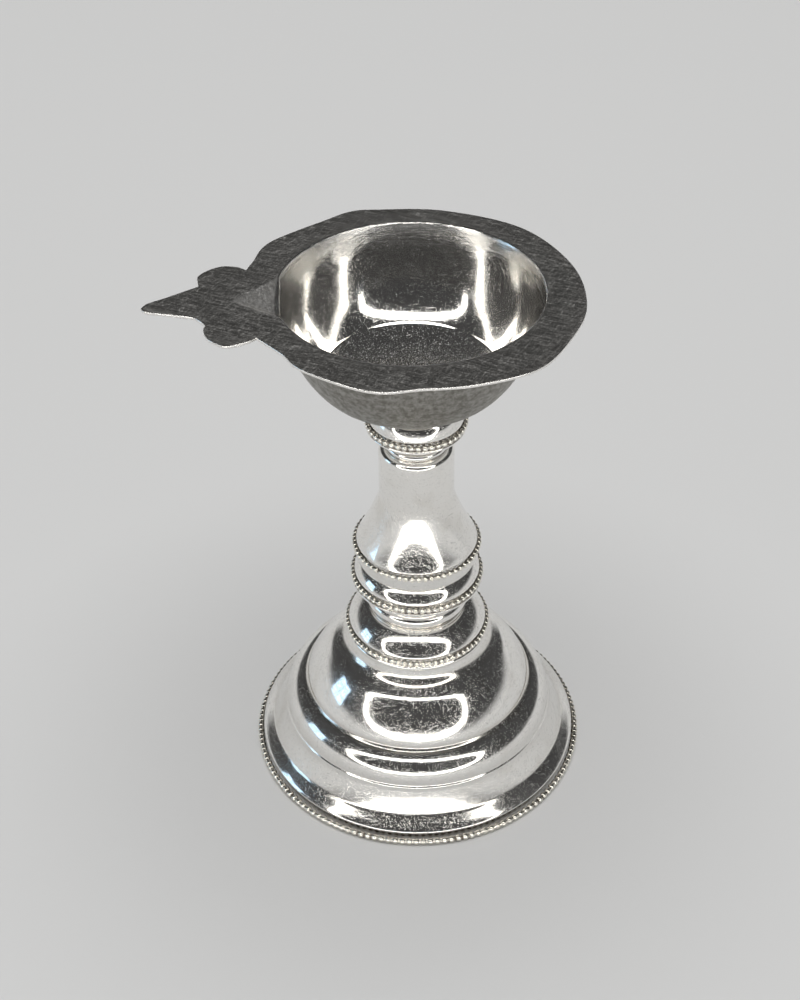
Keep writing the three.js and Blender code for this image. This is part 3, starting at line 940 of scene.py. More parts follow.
@dataclass
class SubAssembly:
    """A group of pieces that are made together, and the sizes and ways of making that they share."""

    shop: Workshop
    segments: int = 192
    hole: float = 3.3
    softness: float = 0.12
    sheet: float = 0.5
    lip_rise: float = 1.45
    lip_overhang: float = 0.5
    lip_undercut: float = 0.45
    bead: float = 0.55
    bead_pitch: float = 1.1

    def turned(self, name: str, profile: Profile, finish: Finish, recess: float, segments: int = 96,
               ending: str = "turned") -> None:
        """A piece turned from the solid, in the place of the node of the same name.

        Args:
            name: The node's name, which the piece's name starts with.
            profile: Its section, a closed loop.
            finish: Its finish.
            recess: The recess value of its surface, as in recess_of().
            segments: Facets in a full turn.
            ending: The end of the piece's name.
        """
        loop = np.array(profile.points)
        made = spin(f"{name}_{ending}", loop, STEM, segments, np.full(len(loop), recess))
        self.shop.hand_over(made, finish, Body.STAND, name)

    def spun_sheet(self, name: str, profile: Profile, thickness: float, side: int, softness: float) -> None:
        """A piece spun from sheet, in the place of the node of the same name.

        Args:
            name: The node's name, which the piece's name starts with.
            profile: Its visible face, from the hole to the free edge.
            thickness: The sheet's thickness.
            side: The side of the profile that the metal is on, as in behind().
            softness: How far its corners are rounded.
        """
        fine = soften(profile.points, softness)
        front = thin(fine)
        back = thin(behind(fine, thickness, side), 8.0, 2.5)[::-1]
        recess = np.concatenate([recess_of(front, side), np.full(len(back), 0.9)])
        made = spin(f"{name}_spun", np.vstack([front, back]), STEM, self.segments, recess)
        self.shop.hand_over(made, POLISHED, Body.STAND, name)

    def half_round(self, name: str) -> None:
        """A turned ring or disc with a half-round edge.

        Args:
            name: The node's name.
        """
        span = span_of(name)
        edge = (span.top - span.bottom) / 2
        profile = Profile(self.hole, span.bottom).line(span.radius - edge, span.bottom)
        profile.half_circle((span.radius - edge, span.bottom + edge), edge).line(self.hole, span.top)
        self.turned(name, profile, POLISHED, 0.4, self.segments)

    def eased_ring(self, name: str, bore: float, ease: float, finish: Finish, recess: float = 0.5,
                   segments: int = 96) -> None:
        """A turned tube or washer with eased edges.

        Args:
            name: The node's name.
            bore: The radius of its hole.
            ease: How much is taken off its edges.
            finish: Its finish.
            recess: The recess value of its surface.
            segments: Facets in a full turn.
        """
        span = span_of(name)
        profile = Profile(bore, span.bottom).line(span.radius - ease, span.bottom)
        profile.line(span.radius, span.bottom + ease).line(span.radius, span.top - ease)
        profile.line(span.radius - ease, span.top).line(bore, span.top)
        self.turned(name, profile, finish, recess, segments)

    def beading(self, name: str) -> None:
        """A ring of beaded wire, in the place of the node of the same name.

        Args:
            name: The node's name.
        """
        span = span_of(name)
        circle = span.radius - self.bead
        centre = Vector((*STEM, (span.bottom + span.top) / 2))
        count = round(2 * math.pi * circle / self.bead_pitch)
        silver = self.shop.material(BEADED)
        made = self.shop.wire.ring(f"{name}_wire", count, circle, self.bead, centre, silver)
        point_values(made, "recess", bead_recess(made, count, circle, self.bead))
        self.shop.hand_over(made, BEADED, Body.STAND, name)

    def lipped(self, profile: Profile, span: Span, slope: float, *stretches: Point) -> Profile:
        """Draws a dome's shoulder down to the lip over its beading, and from there in to its upright edge.

        Args:
            profile: The profile so far.
            span: Where the dome's node lies.
            slope: The slope that the shoulder starts with, as in Profile.sweep().
            stretches: The shoulder's stretches, as in Profile.sweep().

        Returns:
            The profile, down to the dome's lower edge.
        """
        lip, edge = span.bottom + self.lip_rise, span.radius - self.lip_overhang
        profile.sweep((span.radius, lip), slope, *stretches)
        return profile.line(edge, lip - self.lip_undercut).line(edge, span.bottom)

    def domed_disc(self, name: str, deck: float, shoulder: Sequence[Point]) -> None:
        """A domed disc with a flat deck and a lip over its beading.

        Args:
            name: The node's name.
            deck: The radius of its deck.
            shoulder: Its shoulder's stretches, as in Profile.sweep().
        """
        span = span_of(name)
        profile = self.lipped(Profile(self.hole, span.top).line(deck, span.top), span, 2, *shoulder)
        self.spun_sheet(name, profile, self.sheet, 1, self.softness)


def bead_recess(made: bpy.types.Object, count: int, circle: float, bead: float) -> np.ndarray:
    """Recess values for a ring of beads: 1 between them and on their inner sides, where the beaded finish
    paints dark shade with some tarnishing.

    Args:
        made: The ring.
        count: How many beads it has.
        circle: The radius of the circle through their centres.
        bead: The radius of one bead.

    Returns:
        One value for each of the ring's points.
    """
    places = np.zeros(len(made.data.vertices) * 3)
    made.data.vertices.foreach_get("co", places)
    places = places.reshape(-1, 3) / MM
    x, y = places[:, 0] - STEM[0], places[:, 1] - STEM[1]
    inward = 0.5 - 0.6 * (np.hypot(x, y) - circle) / bead
    turns = np.arctan2(y, x) / (2 * math.pi) * count
    between = 2.2 * np.abs(turns - np.round(turns)) - 0.1
    return np.clip(np.maximum(inward, between), 0.0, 1.0)


@dataclass
class Foot(SubAssembly):
    """The bell foot, one spun sheet, with the beaded wire round its edge."""

    segments: int = 256
    softness: float = 0.16
    sheet: float = 0.6
    hem: Point = (28.4, 1.6)
    undercut: float = 0.5
    skirt: Sequence[Point] = ((1.3, 68), (4.2, 65), (0.9, 43), (1.7, 47), (0.9, 62))
    skirt_crease: Point = (24.3, 8.7)
    step: Sequence[Point] = ((0.7, 27), (3.5, 63), (2.5, 88))
    step_base: Point = (24.0, 9.0)
    step_crease: Point = (20.5, 13.7)
    dome: Sequence[Point] = ((1.2, 68), (2.2, 33), (1.1, 28), (1.5, 43), (6.8, 63), (1.3, 87))
    dome_base: Point = (20.0, 14.2)
    neck: float = 12.0
    bead: float = 0.65
    bead_pitch: float = 1.24

    def build(self) -> None:
        """Makes the foot and its beading."""
        span = span_of("foot")
        profile = Profile(self.hole, span.top).line(self.neck, span.top)
        profile.sweep(self.dome_base, 90, *self.dome).line(*self.step_crease)
        profile.sweep(self.step_base, 8, *self.step).line(*self.skirt_crease)
        profile.sweep((span.radius, self.hem[1] + self.undercut), 88, *self.skirt)
        profile.line(*self.hem).line(self.hem[0], 0.0)
        self.spun_sheet("foot", profile, self.sheet, 1, self.softness)
        self.beading("foot_beading")


@dataclass
class Knop(SubAssembly):
    """The lowest disc of the stem, over the foot, and the ring above it."""

    deck: float = 8.3
    shoulder: Sequence[Point] = ((1.3, 38), (1.2, 43), (3.0, 64))

    def build(self) -> None:
        """Makes the knop's disc, beading and dome, and the spacer ring."""
        self.half_round("knop_base_disc")
        self.beading("knop_beading")
        self.domed_disc("knop_dome", self.deck, self.shoulder)
        self.half_round("spacer_ring")


@dataclass
class MiddleDisc(SubAssembly):
    """The dome over a dish in the middle of the stem."""

    dish_floor: float = 7.2
    lip: float = 2.0
    deck: float = 8.6
    shoulder: Sequence[Point] = ((0.5, 35), (0.8, 38), (2.3, 66))

    def build(self) -> None:
        """Makes the dish, the beading and the dome."""
        span = span_of("middle_dish")
        profile = Profile(self.hole, span.bottom).line(self.dish_floor, span.bottom)
        profile.bend(span.radius, span.top - self.sheet, 0.15, 0.88).line(span.radius, span.top)
        profile.line(span.radius - self.lip, span.top)
        self.spun_sheet("middle_dish", profile, self.sheet, -1, self.softness)
        self.beading("middle_beading")
        self.domed_disc("middle_dome", self.deck, self.shoulder)


@dataclass
class Bell(SubAssembly):
    """The neck that flares into a bell, on its pan."""

    pan_sheet: float = 0.6
    corner: float = 0.8
    rounding: float = 1.3
    neck: float = 6.3
    flare: Sequence[Point] = ((3.4, 90), (1.7, 67), (5.0, 61), (3.6, 56))
    flare_top: float = 60.1

    def build(self) -> None:
        """Makes the pan, the beading, and the bell with its neck."""
        pan = span_of("bell_base_pan")
        profile = Profile(self.hole, pan.bottom).line(pan.radius - self.corner, pan.bottom)
        profile.bend(pan.radius, pan.bottom + self.corner, 1.0, 0.0).line(pan.radius, pan.top)
        self.spun_sheet("bell_base_pan", profile, self.pan_sheet, -1, self.softness)
        self.beading("bell_beading")
        bell = span_of("neck_bell")
        profile = Profile(self.hole, bell.top).line(self.neck - self.rounding, bell.top)
        profile.bend(self.neck, bell.top - self.rounding, 1.0, 0.0).line(self.neck, self.flare_top)
        self.lipped(profile, bell, 90, *self.flare)
        self.spun_sheet("neck_bell", profile, self.sheet, 1, self.softness)


@dataclass
class Collar(SubAssembly):
    """The ring on the neck and the small beaded disc that carries the bowl."""

    deck: float = 6.3
    shoulder: Sequence[Point] = ((0.5, 45), (1.2, 67), (1.4, 75))
    ferrule_ease: float = 0.12

    def build(self) -> None:
        """Makes the neck ring, the ferrule and the collar's disc, beading and dome."""
        self.half_round("neck_ring")
        self.eased_ring("collar_ferrule", self.hole, self.ferrule_ease, POLISHED, 0.6, self.segments)
        self.half_round("collar_base_disc")
        self.beading("collar_beading")
        self.domed_disc("collar_dome", self.deck, self.shoulder)


@dataclass
class Fittings(SubAssembly):
    """What clamps the stem and carries the bowl: threaded tube, nuts, washers and stud."""

    facets: int = 56
    thread_pitch: float = 0.7
    thread_depth: float = 0.28
    thread_runout: float = 0.4
    tube_bore: float = 2.3
    top_thread: float = 3.4
    bottom_thread: float = 11.0
    top_nut_ease: float = 0.15
    cup_wall: float = 0.8
    nut_flats: float = 10.0
    nut_countersink: float = 0.25
    slit: float = 4.0
    slit_ease: float = 0.08
    seat_bore: float = 4.5
    seat_ease: float = 0.06
    stud_shank: float = 2.0
    stud_flange: float = 0.4
    stud_plain: Point = (0.3, 0.2)

    def build(self) -> None:
        """Makes every fitting."""
        self.threaded_tube()
        self.eased_ring("top_nut", self.hole, self.top_nut_ease, BRASS)
        self.cup_washer()
        self.spring_washer()
        self.hexagon_nut()
        self.eased_ring("seat_washer", self.seat_bore, self.seat_ease, STEEL)
        self.stud()

    def threaded(self, name: str, heights: Sequence[float], radius: float, bore: float,
                 threads: Sequence[Point]) -> bpy.types.Object:
        """A rod or tube with a screw thread cut over some stretches.

        Args:
            name: The object's name.
            heights: The heights of its rings, from the bottom up.
            radius: Its radius over the thread.
            bore: The radius of its bore, or 0 for a rod.
            threads: The lowest and highest point of each threaded stretch.

        Returns:
            The closed solid.
        """
        angles = np.arange(self.facets) * 2 * math.pi / self.facets
        rows = []
        for height in heights:
            cut = max(min(1.0, (height - low) / self.thread_runout, (high - height) / self.thread_runout)
                      for low, high in threads)
            wave = np.abs(2 * np.mod(height / self.thread_pitch - angles / (2 * math.pi), 1.0) - 1)
            rows.append(radius - self.thread_depth * max(cut, 0.0) * wave)
        vertices = [(STEM[0] + r * math.cos(a), r * math.sin(a), h)
                    for h, row in zip(heights, rows) for r, a in zip(row, angles)]
        count, last = self.facets, len(heights) - 1
        faces = [(i * count + k, i * count + (k + 1) % count,
                  (i + 1) * count + (k + 1) % count, (i + 1) * count + k)
                 for i in range(last) for k in range(count)]
        if bore:
            inner = len(vertices)
            for height in (heights[0], heights[-1]):
                vertices.extend((STEM[0] + bore * math.cos(a), bore * math.sin(a), height) for a in angles)
            low, high = inner, inner + count
            for k in range(count):
                n = (k + 1) % count
                faces.append((low + n, low + k, high + k, high + n))
                faces.append((low + k, low + n, n, k))
                faces.append((last * count + k, last * count + n, high + n, high + k))
        else:
            faces.append(tuple(range(count - 1, -1, -1)))
            faces.append(tuple(last * count + k for k in range(count)))
        made = mesh_object(name, np.array(vertices), faces)
        point_values(made, "recess", np.zeros(len(made.data.vertices)))
        return made

    def thread_heights(self, low: float, high: float, threads: Sequence[Point]) -> list[float]:
        """Ring heights: close together in a thread, and only the ends elsewhere.

        Args:
            low: The lowest height.
            high: The highest.
            threads: The lowest and highest point of each threaded stretch.

        Returns:
            The heights, from the bottom up.
        """
        heights = {low, high}
        for start, stop in threads:
            count = int((stop - start) / (self.thread_pitch / 6))
            heights.update(start + (stop - start) * i / count for i in range(count + 1))
        return sorted(heights)

    def threaded_tube(self) -> None:
        """The tube through the whole stem, threaded at both ends."""
        span = span_of("tie_tube")
        threads = [(span.bottom, span.bottom + self.bottom_thread), (span.top - self.top_thread, span.top)]
        heights = self.thread_heights(span.bottom, span.top, threads)
        made = self.threaded("tie_tube_threaded", heights, span.radius, self.tube_bore, threads)
        self.shop.hand_over(made, BRASS, Body.STAND, "tie_tube")

    def cup_washer(self) -> None:
        """The washer with its rim turned down, under the foot's top."""
        span = span_of("cup_washer")
        wall = self.cup_wall
        profile = Profile(self.hole, span.top).line(span.radius - wall, span.top)
        profile.bend(span.radius, span.top - wall, 1.0, 0.0, 8).line(span.radius, span.bottom)
        profile.line(span.radius - wall, span.bottom).line(span.radius - wall, span.top - wall)
        profile.line(self.hole, span.top - wall)
        self.turned("cup_washer", profile, STEEL, 0.5, ending="pressed")

    def spring_washer(self) -> None:
        """The split washer, whose two ends stand a little apart."""
        span = span_of("spring_washer")
        steps = 72
        vertices, faces = [], []
        for step in range(steps + 1):
            angle = math.radians(self.slit / 2 + (360 - self.slit) * step / steps)
            for radius, height in ((self.hole, span.bottom), (span.radius, span.bottom),
                                   (span.radius, span.top), (self.hole, span.top)):
                vertices.append((STEM[0] + radius * math.cos(angle), radius * math.sin(angle), height))
            if step:
                now, before = step * 4, (step - 1) * 4
                faces += [(before + i, now + i, now + (i + 1) % 4, before + (i + 1) % 4) for i in range(4)]
        faces += [(0, 1, 2, 3), tuple(steps * 4 + i for i in (3, 2, 1, 0))]
        made = mesh_object("spring_washer_split", np.array(vertices), faces)
        bevel(made, self.slit_ease)
        self.shop.hand_over(made, STEEL, Body.STAND, "spring_washer")

    def hexagon_nut(self) -> None:
        """The hexagon nut, with both faces turned to a chamfer."""
        span = span_of("bottom_nut")
        count = 6 * 12
        angles = np.arange(count) * 2 * math.pi / count
        round_face = self.nut_flats / 2
        flat = round_face / np.cos(np.mod(angles + math.pi / 6, math.pi / 3) - math.pi / 6)
        fall = (flat - round_face) * math.tan(math.radians(30))
        sink = self.nut_countersink
        level = np.ones(count)
        rows = [(level * (self.hole + sink), level * span.bottom), (level * round_face, level * span.bottom),
                (flat, span.bottom + fall), (flat, span.top - fall),
                (level * round_face, level * span.top), (level * (self.hole + sink), level * span.top),
                (level * self.hole, level * (span.top - sink)),
                (level * self.hole, level * (span.bottom + sink))]
        vertices = [(STEM[0] + r * math.cos(a), r * math.sin(a), h)
                    for radii, heights in rows for r, h, a in zip(radii, heights, angles)]
        faces = [(i * count + k, i * count + (k + 1) % count,
                  (i + 1) % len(rows) * count + (k + 1) % count, (i + 1) % len(rows) * count + k)
                 for i in range(len(rows)) for k in range(count)]
        made = mesh_object("bottom_nut_hexagon", np.array(vertices), faces, 12.0)
        self.shop.hand_over(made, BRASS, Body.STAND, "bottom_nut")

    def stud(self) -> None:
        """The threaded stud soldered under the bowl, with its flange."""
        span = span_of("bowl_stud")
        under = span.top - self.stud_flange
        threads = [(span.bottom + self.stud_plain[0], under - self.stud_plain[1])]
        heights = self.thread_heights(span.bottom, under, threads)
        made = self.threaded("bowl_stud_threaded", heights, self.stud_shank, 0.0, threads)
        section = np.array([(0.0, under), (span.radius, under), (span.radius, span.top), (0.0, span.top)])
        join(made, spin("stud_flange", section, STEM, self.facets, np.zeros(len(section))))
        self.shop.hand_over(made, BRASS, Body.STUD, "bowl_stud")


def join(into: bpy.types.Object, other: bpy.types.Object) -> None:
    """Adds another object's mesh to an object, and removes the other.

    Args:
        into: The object that grows.
        other: The object that is added and removed.
    """
    whole = bmesh.new()
    for part in (into, other):
        whole.from_mesh(part.data)
    whole.to_mesh(into.data)
    whole.free()
    bpy.data.objects.remove(other)


def bevel(made: bpy.types.Object, width: float) -> None:
    """Rounds the sharp edges of a piece.

    Args:
        made: The piece.
        width: How far the rounding reaches from each edge, in millimetres.
    """
    shape = bmesh.new()
    shape.from_mesh(made.data)
    sharp = [edge for edge in shape.edges if edge.is_manifold and edge.calc_face_angle() > math.radians(40)]
    bmesh.ops.bevel(shape, geom=sharp, offset=width * MM, segments=2, profile=0.5, affect="EDGES")
    shape.to_mesh(made.data)
    shape.free()
    made.data.shade_smooth()
    made.data.set_sharp_from_angle(angle=math.radians(50))


def spline(points: Sequence[Point], steps: int) -> list[Point]:
    """A smooth curve through points.

    Args:
        points: The points that it passes through.
        steps: How many points it has for each stretch between two of them.

    Returns:
        The curve's points, without the first of them.
    """
    fixed = np.array([points[0], *points, points[-1]], float)
    made: list[Point] = []
    for i in range(len(points) - 1):
        before, start, stop, after = fixed[i:i + 4]
        for step in range(1, steps + 1):
            t = step / steps
            pull_in, pull_out = (stop - before) / 2, (after - start) / 2
            place = ((2 * start - 2 * stop + pull_in + pull_out) * t ** 3
                     + (3 * stop - 3 * start - 2 * pull_in - pull_out) * t ** 2 + pull_in * t + start)
            made.append((float(place[0]), float(place[1])))
    return made


@dataclass
class Bowl(SubAssembly):
    """The lamp bowl: dish, flange, spout and finger tab raised from one sheet, and the ring it stands on."""

    wall: float = 0.5
    mouth: float = 21.1
    depth: float = 18.5
    bend_steps: int = 60
    dish_bend: Point = (14.8, 3.45)
    floor_bend: Point = (0.78, 0.0)
    wall_bend: Point = (0.73, 0.32)
    groove: Point = (14.4, 0.09)
    groove_width: float = 0.16
    groove_margin: float = 0.45
    lip: Point = (0.5, 0.8)
    lip_sharpness: float = 2.6
    shift: Point = (-0.7, 0.4)
    flange_radius: float = 26.3
    tab_length: float = 15.6
    tab_half_width: float = 11.4
    spout_reach: float = 7.5
    spout_half_width: float = 6.35
    spout_depth: float = 3.2
    spout_shift: float = 0.5
    spout_inset: float = 0.6
    spout_powers: Point = (1.15, 1.5)
    spout_blend: Point = (0.18, 0.25)
    dip: float = 0.18
    dip_reach: float = 5.0
    edge_rings: Sequence[Point] = ((0.25, 0.0), (0.12, 0.0), (0.035, -0.035), (0.0, -0.12),
                                   (0.0, -0.38), (0.035, -0.465), (0.12, -0.5), (0.25, -0.5))
    stray: Sequence[Point] = ((-145, -0.3), (-133, 0.6), (-110, 1.4), (-94, 0.1), (-77, 0.5), (-57, 1.5),
                              (-38, 0.4), (-16, 0), (11, -0.6), (42, -0.5), (73, -0.8), (98, -0.1),
                              (107, 0.7), (117, 0.2), (141, 1.5), (155, 0.9))
    upper_notch: Point = (-0.04, 0.81)
    upper_lobe: Sequence[Point] = ((0.03, 0.89), (0.11, 0.93), (0.22, 0.94), (0.36, 0.84), (0.44, 0.72),
                                   (0.45, 0.61))
    upper_waist: Point = (0.44, 0.45)
    upper_side: Sequence[Point] = ((0.64, 0.3), (0.79, 0.19), (0.94, 0.09))
    tip: Point = (1.0, -0.02)
    lower_side: Sequence[Point] = ((0.95, -0.12), (0.73, -0.22), (0.51, -0.32), (0.42, -0.44))
    lower_waist: Point = (0.38, -0.54)
    lower_lobe: Sequence[Point] = ((0.4, -0.62), (0.39, -0.75), (0.35, -0.88), (0.27, -0.99), (0.18, -1.06),
                                   (0.0, -0.99))
    lower_notch: Point = (-0.1, -0.9)
    root: Sequence[Point] = ((0.1, 0.72), (0.24, 0.52), (0.29, 0.26), (0.3, 0.0), (0.29, -0.26),
                             (0.22, -0.54), (0.06, -0.77))
    ring_wall: float = 2.0
    ring_chamfer: float = 0.3
    ring_waist: Point = (0.7, 1.3)
    ring_gap: float = 0.05

    def build(self) -> None:
        """Makes the bowl and its foot ring."""
        self.rim = span_of("lamp_bowl").top
        self.inside = self.dish_side()
        self.outside = behind(self.inside, self.wall, 1)
        self.lamp_bowl()
        self.foot_ring()

    def tab_place(self, shares: Point) -> Point:
        """A point of the tab from its shares of the tab's length and half width."""
        return (-self.flange_radius - shares[0] * self.tab_length, shares[1] * self.tab_half_width)

    def flange_edge(self) -> list[Point]:
        """The flange's hand-cut edge, from the tab's lower notch round to its upper one.

        Returns:
            The edge's points.
        """
        knots = [self.tab_place(self.lower_notch)]
        for degrees, stray in self.stray:
            angle, radius = math.radians(degrees), self.flange_radius + stray
            knots.append((radius * math.cos(angle), radius * math.sin(angle)))
        knots.append(self.tab_place(self.upper_notch))
        return [knots[0], *spline(knots, 22)]

    def tab_edge(self) -> list[Point]:
        """The tab's edge, from its upper notch to its lower one, with neither of them.

        Returns:
            The edge's points.
        """
        edge: list[Point] = []
        start = self.upper_notch
        for run in ((*self.upper_lobe, self.upper_waist), (*self.upper_side, self.tip),
                    (*self.lower_side, self.lower_waist), (*self.lower_lobe, self.lower_notch)):
            edge += spline([self.tab_place(p) for p in (start, *run)], 9)
            start = run[-1]
        return edge[:-1]

    def dish_side(self) -> np.ndarray:
        """The dish's inner face as a fine profile: a shallow floor that bends up into a steep wall.

        Returns:
            The profile, as radius and height from the dish's axis.
        """
        floor = self.rim - self.depth
        bend, height = self.dish_bend
        side = Profile(0.0, floor).bend(bend, floor + height, *self.floor_bend, self.bend_steps)
        side.bend(self.mouth - self.lip[0], self.rim - self.lip[1], *self.wall_bend, self.bend_steps)
        return resample(np.array(side.points), 0.06)

    def wall_height(self, radius: np.ndarray) -> np.ndarray:
        """The height of the dish's inner face, with the groove where its floor meets its wall."""
        groove = np.exp(-((radius - self.groove[0]) / self.groove_width) ** 2)
        return np.interp(radius, *self.inside.T) - self.groove[1] * groove

    def channel_depth(self, x: np.ndarray, y: np.ndarray) -> np.ndarray:
        """How deep the spout's channel lies under the flange, 0 outside it.

        Args:
            x: Places across the lamp.
            y: Places along it.

        Returns:
            The depths.
        """
        far, near = self.mouth + self.spout_reach, self.mouth - self.spout_inset
        along = np.clip((far + x) / (far - near), 0.0, 1.15) * (x < 0)
        half = np.maximum(self.spout_half_width * along, 1e-3)
        across = np.abs(y - self.spout_shift) / half
        slope, hollow = self.spout_powers
        return self.spout_depth * along ** slope * np.clip(1 - across ** hollow, 0.0, 1.0)

    def top_height(self, x: np.ndarray, y: np.ndarray) -> np.ndarray:
        """The height of the bowl's upper face at points in plan.

        Args:
            x: Places across the lamp.
            y: Places along it.

        Returns:
            The heights.
        """
        radius = np.hypot(x - self.shift[0], y - self.shift[1])
        start = self.mouth - self.lip[0] - 0.06
        rise = np.clip((radius - start) / (self.mouth - start), 0.0, 1.0)
        low = self.wall_height(np.array(start))
        lip = low + (self.rim - low) * (1 - (1 - rise) ** self.lip_sharpness)
        dish = np.where(radius < start, self.wall_height(radius), lip)
        dish = np.where(radius >= self.mouth, self.rim, dish)
        channel = self.rim - self.channel_depth(x, y)
        return -smooth_max(-dish, -channel, self.spout_blend[0]) - self.warp(x, y)

    def under_height(self, x: np.ndarray, y: np.ndarray) -> np.ndarray:
        """The height of the bowl's lower face at points in plan.

        Args:
            x: Places across the lamp.
            y: Places along it.

        Returns:
            The heights.
        """
        radius = np.hypot(x - self.shift[0], y - self.shift[1])
        dish = np.interp(radius, *self.outside.T)
        flat = self.rim - self.wall - 0.99 * self.channel_depth(x, y)
        inside = radius < self.mouth - self.lip[0] + self.wall - 0.01
        lower = np.where(inside, -smooth_max(-dish, -flat, self.spout_blend[1]), flat)
        return lower - self.warp(x, y)

    def warp(self, x: np.ndarray, y: np.ndarray) -> np.ndarray:
        """How far the hand-beaten flange dips under its flat, nowhere more than a fifth of a millimetre.

        Args:
            x: Places across the lamp.
            y: Places along it.

        Returns:
            The dips.
        """
        radius = np.hypot(x, y)
        angle = np.arctan2(y, x)
        wave = 0.5 + 0.3 * np.sin(2 * angle + 0.9) + 0.2 * np.sin(5 * angle + 2.0)
        return self.dip * np.clip((radius - self.mouth) / self.dip_reach, 0.0, 1.0) * wave

    def lamp_bowl(self) -> None:
        """The bowl itself, as one closed skin: two polar faces, a flat tab and the cut edge."""
        flange, tab = self.flange_edge(), self.tab_edge()
        edge = np.array([*flange, *tab])
        outward = edge_normals(edge)
        rings = [edge - outward * inset for inset, _ in self.edge_rings]
        root = np.array(spline([tuple(rings[0][len(flange) - 1]), *map(self.tab_place, self.root),
                                tuple(rings[0][0])], 14)[:-1])
        shape = BowlSkin(self)
        top_edge = shape.ring(rings[0], self.top_height)
        low_edge = shape.ring(rings[-1], self.under_height)
        top_root = shape.ring(root, self.top_height)
        low_root = shape.ring(root, self.under_height)
        groove = np.linspace(self.groove[0] - self.groove_margin, self.groove[0] + self.groove_margin, 13)
        lip = np.linspace(self.mouth - self.lip[0], self.mouth + 0.1, 9)
        top_stations = sorted({*resample(self.inside, 0.45)[:, 0], *groove, *lip})
        low_stations = [*resample(self.outside, 0.7)[:, 0], self.mouth + 0.15]
        shape.polar_face([*top_edge[:len(flange)], *top_root], top_stations, self.top_height, True, 22)
        shape.polar_face([*low_edge[:len(flange)], *low_root], low_stations, self.under_height, False, 16)
        shape.flat_face(top_edge[len(flange) - 1:] + top_edge[:1] + top_root[::-1], True)
        shape.flat_face(low_edge[len(flange) - 1:] + low_edge[:1] + low_root[::-1], False)
        middle = [shape.edge_ring(ring, drop) for ring, (_, drop) in list(zip(rings, self.edge_rings))[1:-1]]
        shape.strips([top_edge, *middle, low_edge])
        self.shop.hand_over(shape.finish("lamp_bowl_raised"), BOWL, Body.BOWL, "lamp_bowl")

    def foot_ring(self) -> None:
        """The low ring soldered under the dish."""
        span = span_of("bowl_foot_ring")
        inner, outer = span.radius - self.ring_wall, span.radius
        eased = outer - self.ring_chamfer
        low, high = (span.bottom + height for height in self.ring_waist)
        top_in, top_out = (float(np.interp(r, *self.outside.T)) - self.ring_gap for r in (inner, eased))
        profile = Profile(inner, span.bottom).line(eased, span.bottom)
        profile.bend(outer, low, 0.7, 0.1, 8).line(outer, high)
        profile.bend(eased, top_out, 0.3, 0.9, 8).line(inner, top_in)
        loop = np.array(profile.points)
        made = spin("bowl_foot_ring_turned", loop, span.centre, 160, np.full(len(loop), 0.6))
        self.shop.hand_over(made, RING, Body.BOWL, "bowl_foot_ring")


def smooth_max(a: np.ndarray, b: np.ndarray, width: float) -> np.ndarray:
    """The larger of two numbers, with the change from one to the other rounded over a width.

    Args:
        a: Some numbers.
        b: As many others.
        width: How far apart they are where the rounding starts.

    Returns:
        The rounded maximum.
    """
    blend = np.clip(0.5 + 0.5 * (a - b) / width, 0.0, 1.0)
    return b + (a - b) * blend + width * blend * (1 - blend)


def edge_normals(edge: np.ndarray) -> np.ndarray:
    """The outward direction at each point of a closed counter-clockwise outline.

    Args:
        edge: The outline's points.

    Returns:
        Unit vectors.
    """
    ahead = np.roll(edge, -1, axis=0) - np.roll(edge, 1, axis=0)
    normals = np.column_stack([ahead[:, 1], -ahead[:, 0]])
    return normals / np.hypot(*normals.T)[:, None]


